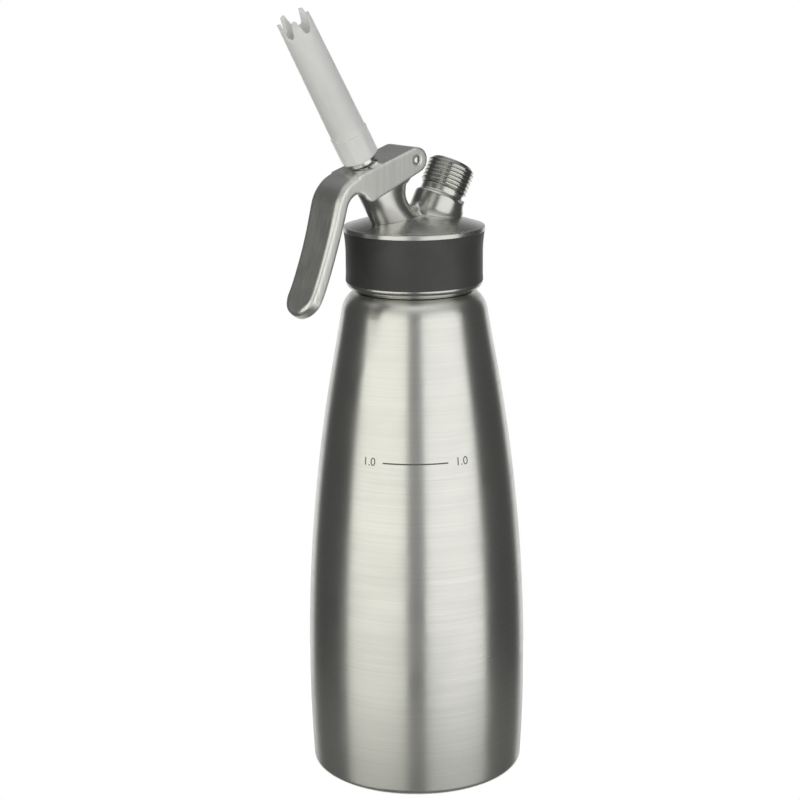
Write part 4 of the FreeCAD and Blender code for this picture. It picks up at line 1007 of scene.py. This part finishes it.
class WHIPPER_OT_stage(bpy.types.Operator):
    """Pale floor, soft lamps and the camera"""
    bl_idname = "whipper.stage"
    bl_label = "Stage"

    def execute(self, context):
        self.make_floor()
        self.make_world()
        aside = math.radians(43.3)
        self.make_softbox("Left softbox", (1.0, 1.0, 0.94), -aside)
        self.make_softbox("Right softbox", (1.0, 1.0, 0.985), aside)
        self.make_camera()
        context.scene.view_settings.view_transform = "Standard"
        return {"FINISHED"}

    def make_floor(self):
        """A pale disc that is nearly white for the camera and nearly clear for reflections."""
        camera_glow, clear = 0.72, 0.85
        deselect()
        bpy.ops.mesh.primitive_circle_add(vertices=96, radius=0.15, fill_type="NGON")
        floor = named("floor")
        material, tree, shader = new_material("Pale floor")
        ray = add_node(tree, "ShaderNodeLightPath")
        shader.inputs["Base Color"].default_value = colour("floor")
        shader.inputs["Roughness"].default_value = 0.9
        shader.inputs["Emission Color"].default_value = (1, 1, 1, 1)
        glow = math_node(tree, "MULTIPLY", ray.outputs["Is Camera Ray"], camera_glow)
        tree.links.new(glow, shader.inputs["Emission Strength"])
        gone = math_node(tree, "MULTIPLY", ray.outputs["Is Glossy Ray"], clear)
        tree.links.new(math_node(tree, "SUBTRACT", 1.0, gone), shader.inputs["Alpha"])
        floor.data.materials.append(material)

    def make_world(self):
        """White for the camera; a dim room with a white wall behind for reflections and light."""
        world = bpy.data.worlds.new("Studio")
        bpy.context.scene.world = world
        world.use_nodes = True
        tree = world.node_tree
        tree.nodes.clear()
        ray = add_node(tree, "ShaderNodeLightPath")
        place = add_node(tree, "ShaderNodeTexCoord")
        behind = (math.sin(CAMERA_TURN), math.cos(CAMERA_TURN), 0)
        across = add_node(tree, "ShaderNodeVectorMath", {
            0: place.outputs["Generated"], 1: behind}, operation="DOT_PRODUCT").outputs["Value"]
        height = add_node(tree, "ShaderNodeSeparateXYZ", {0: place.outputs["Generated"]}).outputs["Z"]
        level = math_node(tree, "SQRT", math_node(
            tree, "SUBTRACT", 1.0, math_node(tree, "MULTIPLY", height, height)))
        straight = math_node(tree, "DIVIDE", across, level)
        wall = map_range(tree, straight, 0.74, 0.88, interpolation_type="SMOOTHSTEP")
        white_wall = math_node(tree, "MULTIPLY", wall, map_range(tree, height, 0.48, -0.05, 0.08, 0.90))
        ceiling = map_range(tree, height, 0.62, 0.96, 0.075, 0.95)
        front = map_range(tree, across, -0.93, -0.985, 0.0, 0.34)
        room = math_node(tree, "MAXIMUM", math_node(tree, "MAXIMUM", ceiling, front), white_wall)
        strength = add_node(tree, "ShaderNodeMix", {0: ray.outputs["Is Camera Ray"], 2: room, 3: 1.0})
        light = add_node(tree, "ShaderNodeBackground", {
            "Color": (1, 1, 1, 1), "Strength": strength.outputs[0]})
        add_node(tree, "ShaderNodeOutputWorld", {"Surface": light.outputs[0]})

    def make_softbox(self, name, tint, turn):
        """A tall soft lamp on the camera's side, turned away from the camera's direction."""
        distance, height, width, tallness, level = 1.1, 0.29, 1.44, 1.7, 1.1
        deselect()
        aim = Matrix.Rotation(turn, 3, "Z") @ Vector((-math.sin(CAMERA_TURN), -math.cos(CAMERA_TURN), 0))
        bpy.ops.object.light_add(type="AREA", location=aim * distance + Vector((0, 0, height)))
        lamp = bpy.context.object
        lamp.name = name
        lamp.rotation_euler = aim.to_track_quat("Z", "Y").to_euler()
        lamp.data.shape = "RECTANGLE"
        lamp.data.size, lamp.data.size_y = width, tallness
        lamp.data.energy = width * tallness * math.pi * level
        lamp.data.color = tint
        lamp.visible_camera = False

    def make_camera(self):
        deselect()
        start = Vector((-541.2, -645.0, 377.2)) * MM
        aim = Vector((-5.18, 4.35, 169.47)) * MM
        roll = -0.008187
        forward = (aim - start).normalized()
        right = forward.cross(Vector((0, 0, 1))).normalized()
        up = right.cross(forward)
        level = right * math.cos(roll) + up * math.sin(roll)
        upright = up * math.cos(roll) - right * math.sin(roll)
        bpy.ops.object.camera_add()
        camera = bpy.context.object
        turned = Matrix((level, upright, -forward)).transposed().to_4x4()
        camera.matrix_world = Matrix.Translation(start) @ turned
        camera.data.sensor_width = 36
        camera.data.lens = 87.25
        camera.data.clip_start = 0.01
        bpy.context.scene.camera = camera


class WHIPPER_PT_panel(bpy.types.Panel):
    bl_idname = "WHIPPER_PT_panel"
    bl_label = "Cream whipper"
    bl_space_type = "VIEW_3D"
    bl_region_type = "UI"
    bl_category = "Whipper"

    def draw(self, context):
        for operator in OPERATORS:
            self.layout.operator(operator.bl_idname)
        for group in (context.scene.whipper_sizes, context.scene.whipper_colours):
            box = self.layout.box()
            for key in group.bl_rna.properties.keys():
                if key not in ("rna_type", "name"):
                    box.prop(group, key)


OPERATORS = (
    WHIPPER_OT_stage, WHIPPER_OT_bottle, WHIPPER_OT_head, WHIPPER_OT_sleeve, WHIPPER_OT_lever,
    WHIPPER_OT_valve, WHIPPER_OT_gas_side, WHIPPER_OT_tip, WHIPPER_OT_fill_mark)
CLASSES = (WhipperSizes, WhipperColours, *OPERATORS, WHIPPER_PT_panel)


def register():
    for kind in CLASSES:
        bpy.utils.register_class(kind)
    bpy.types.Scene.whipper_sizes = PointerProperty(type=WhipperSizes)
    bpy.types.Scene.whipper_colours = PointerProperty(type=WhipperColours)


def unregister():
    del bpy.types.Scene.whipper_sizes
    del bpy.types.Scene.whipper_colours
    for kind in reversed(CLASSES):
        bpy.utils.unregister_class(kind)


def main():
    register()
    bpy.ops.whipper.stage()
    bpy.ops.whipper.bottle()
    bpy.ops.whipper.head()
    bpy.ops.whipper.sleeve()
    bpy.ops.whipper.lever()
    bpy.ops.whipper.valve()
    bpy.ops.whipper.gas_side()
    bpy.ops.whipper.tip()
    bpy.ops.whipper.fill_mark()


if __name__ == "__main__":
    main()
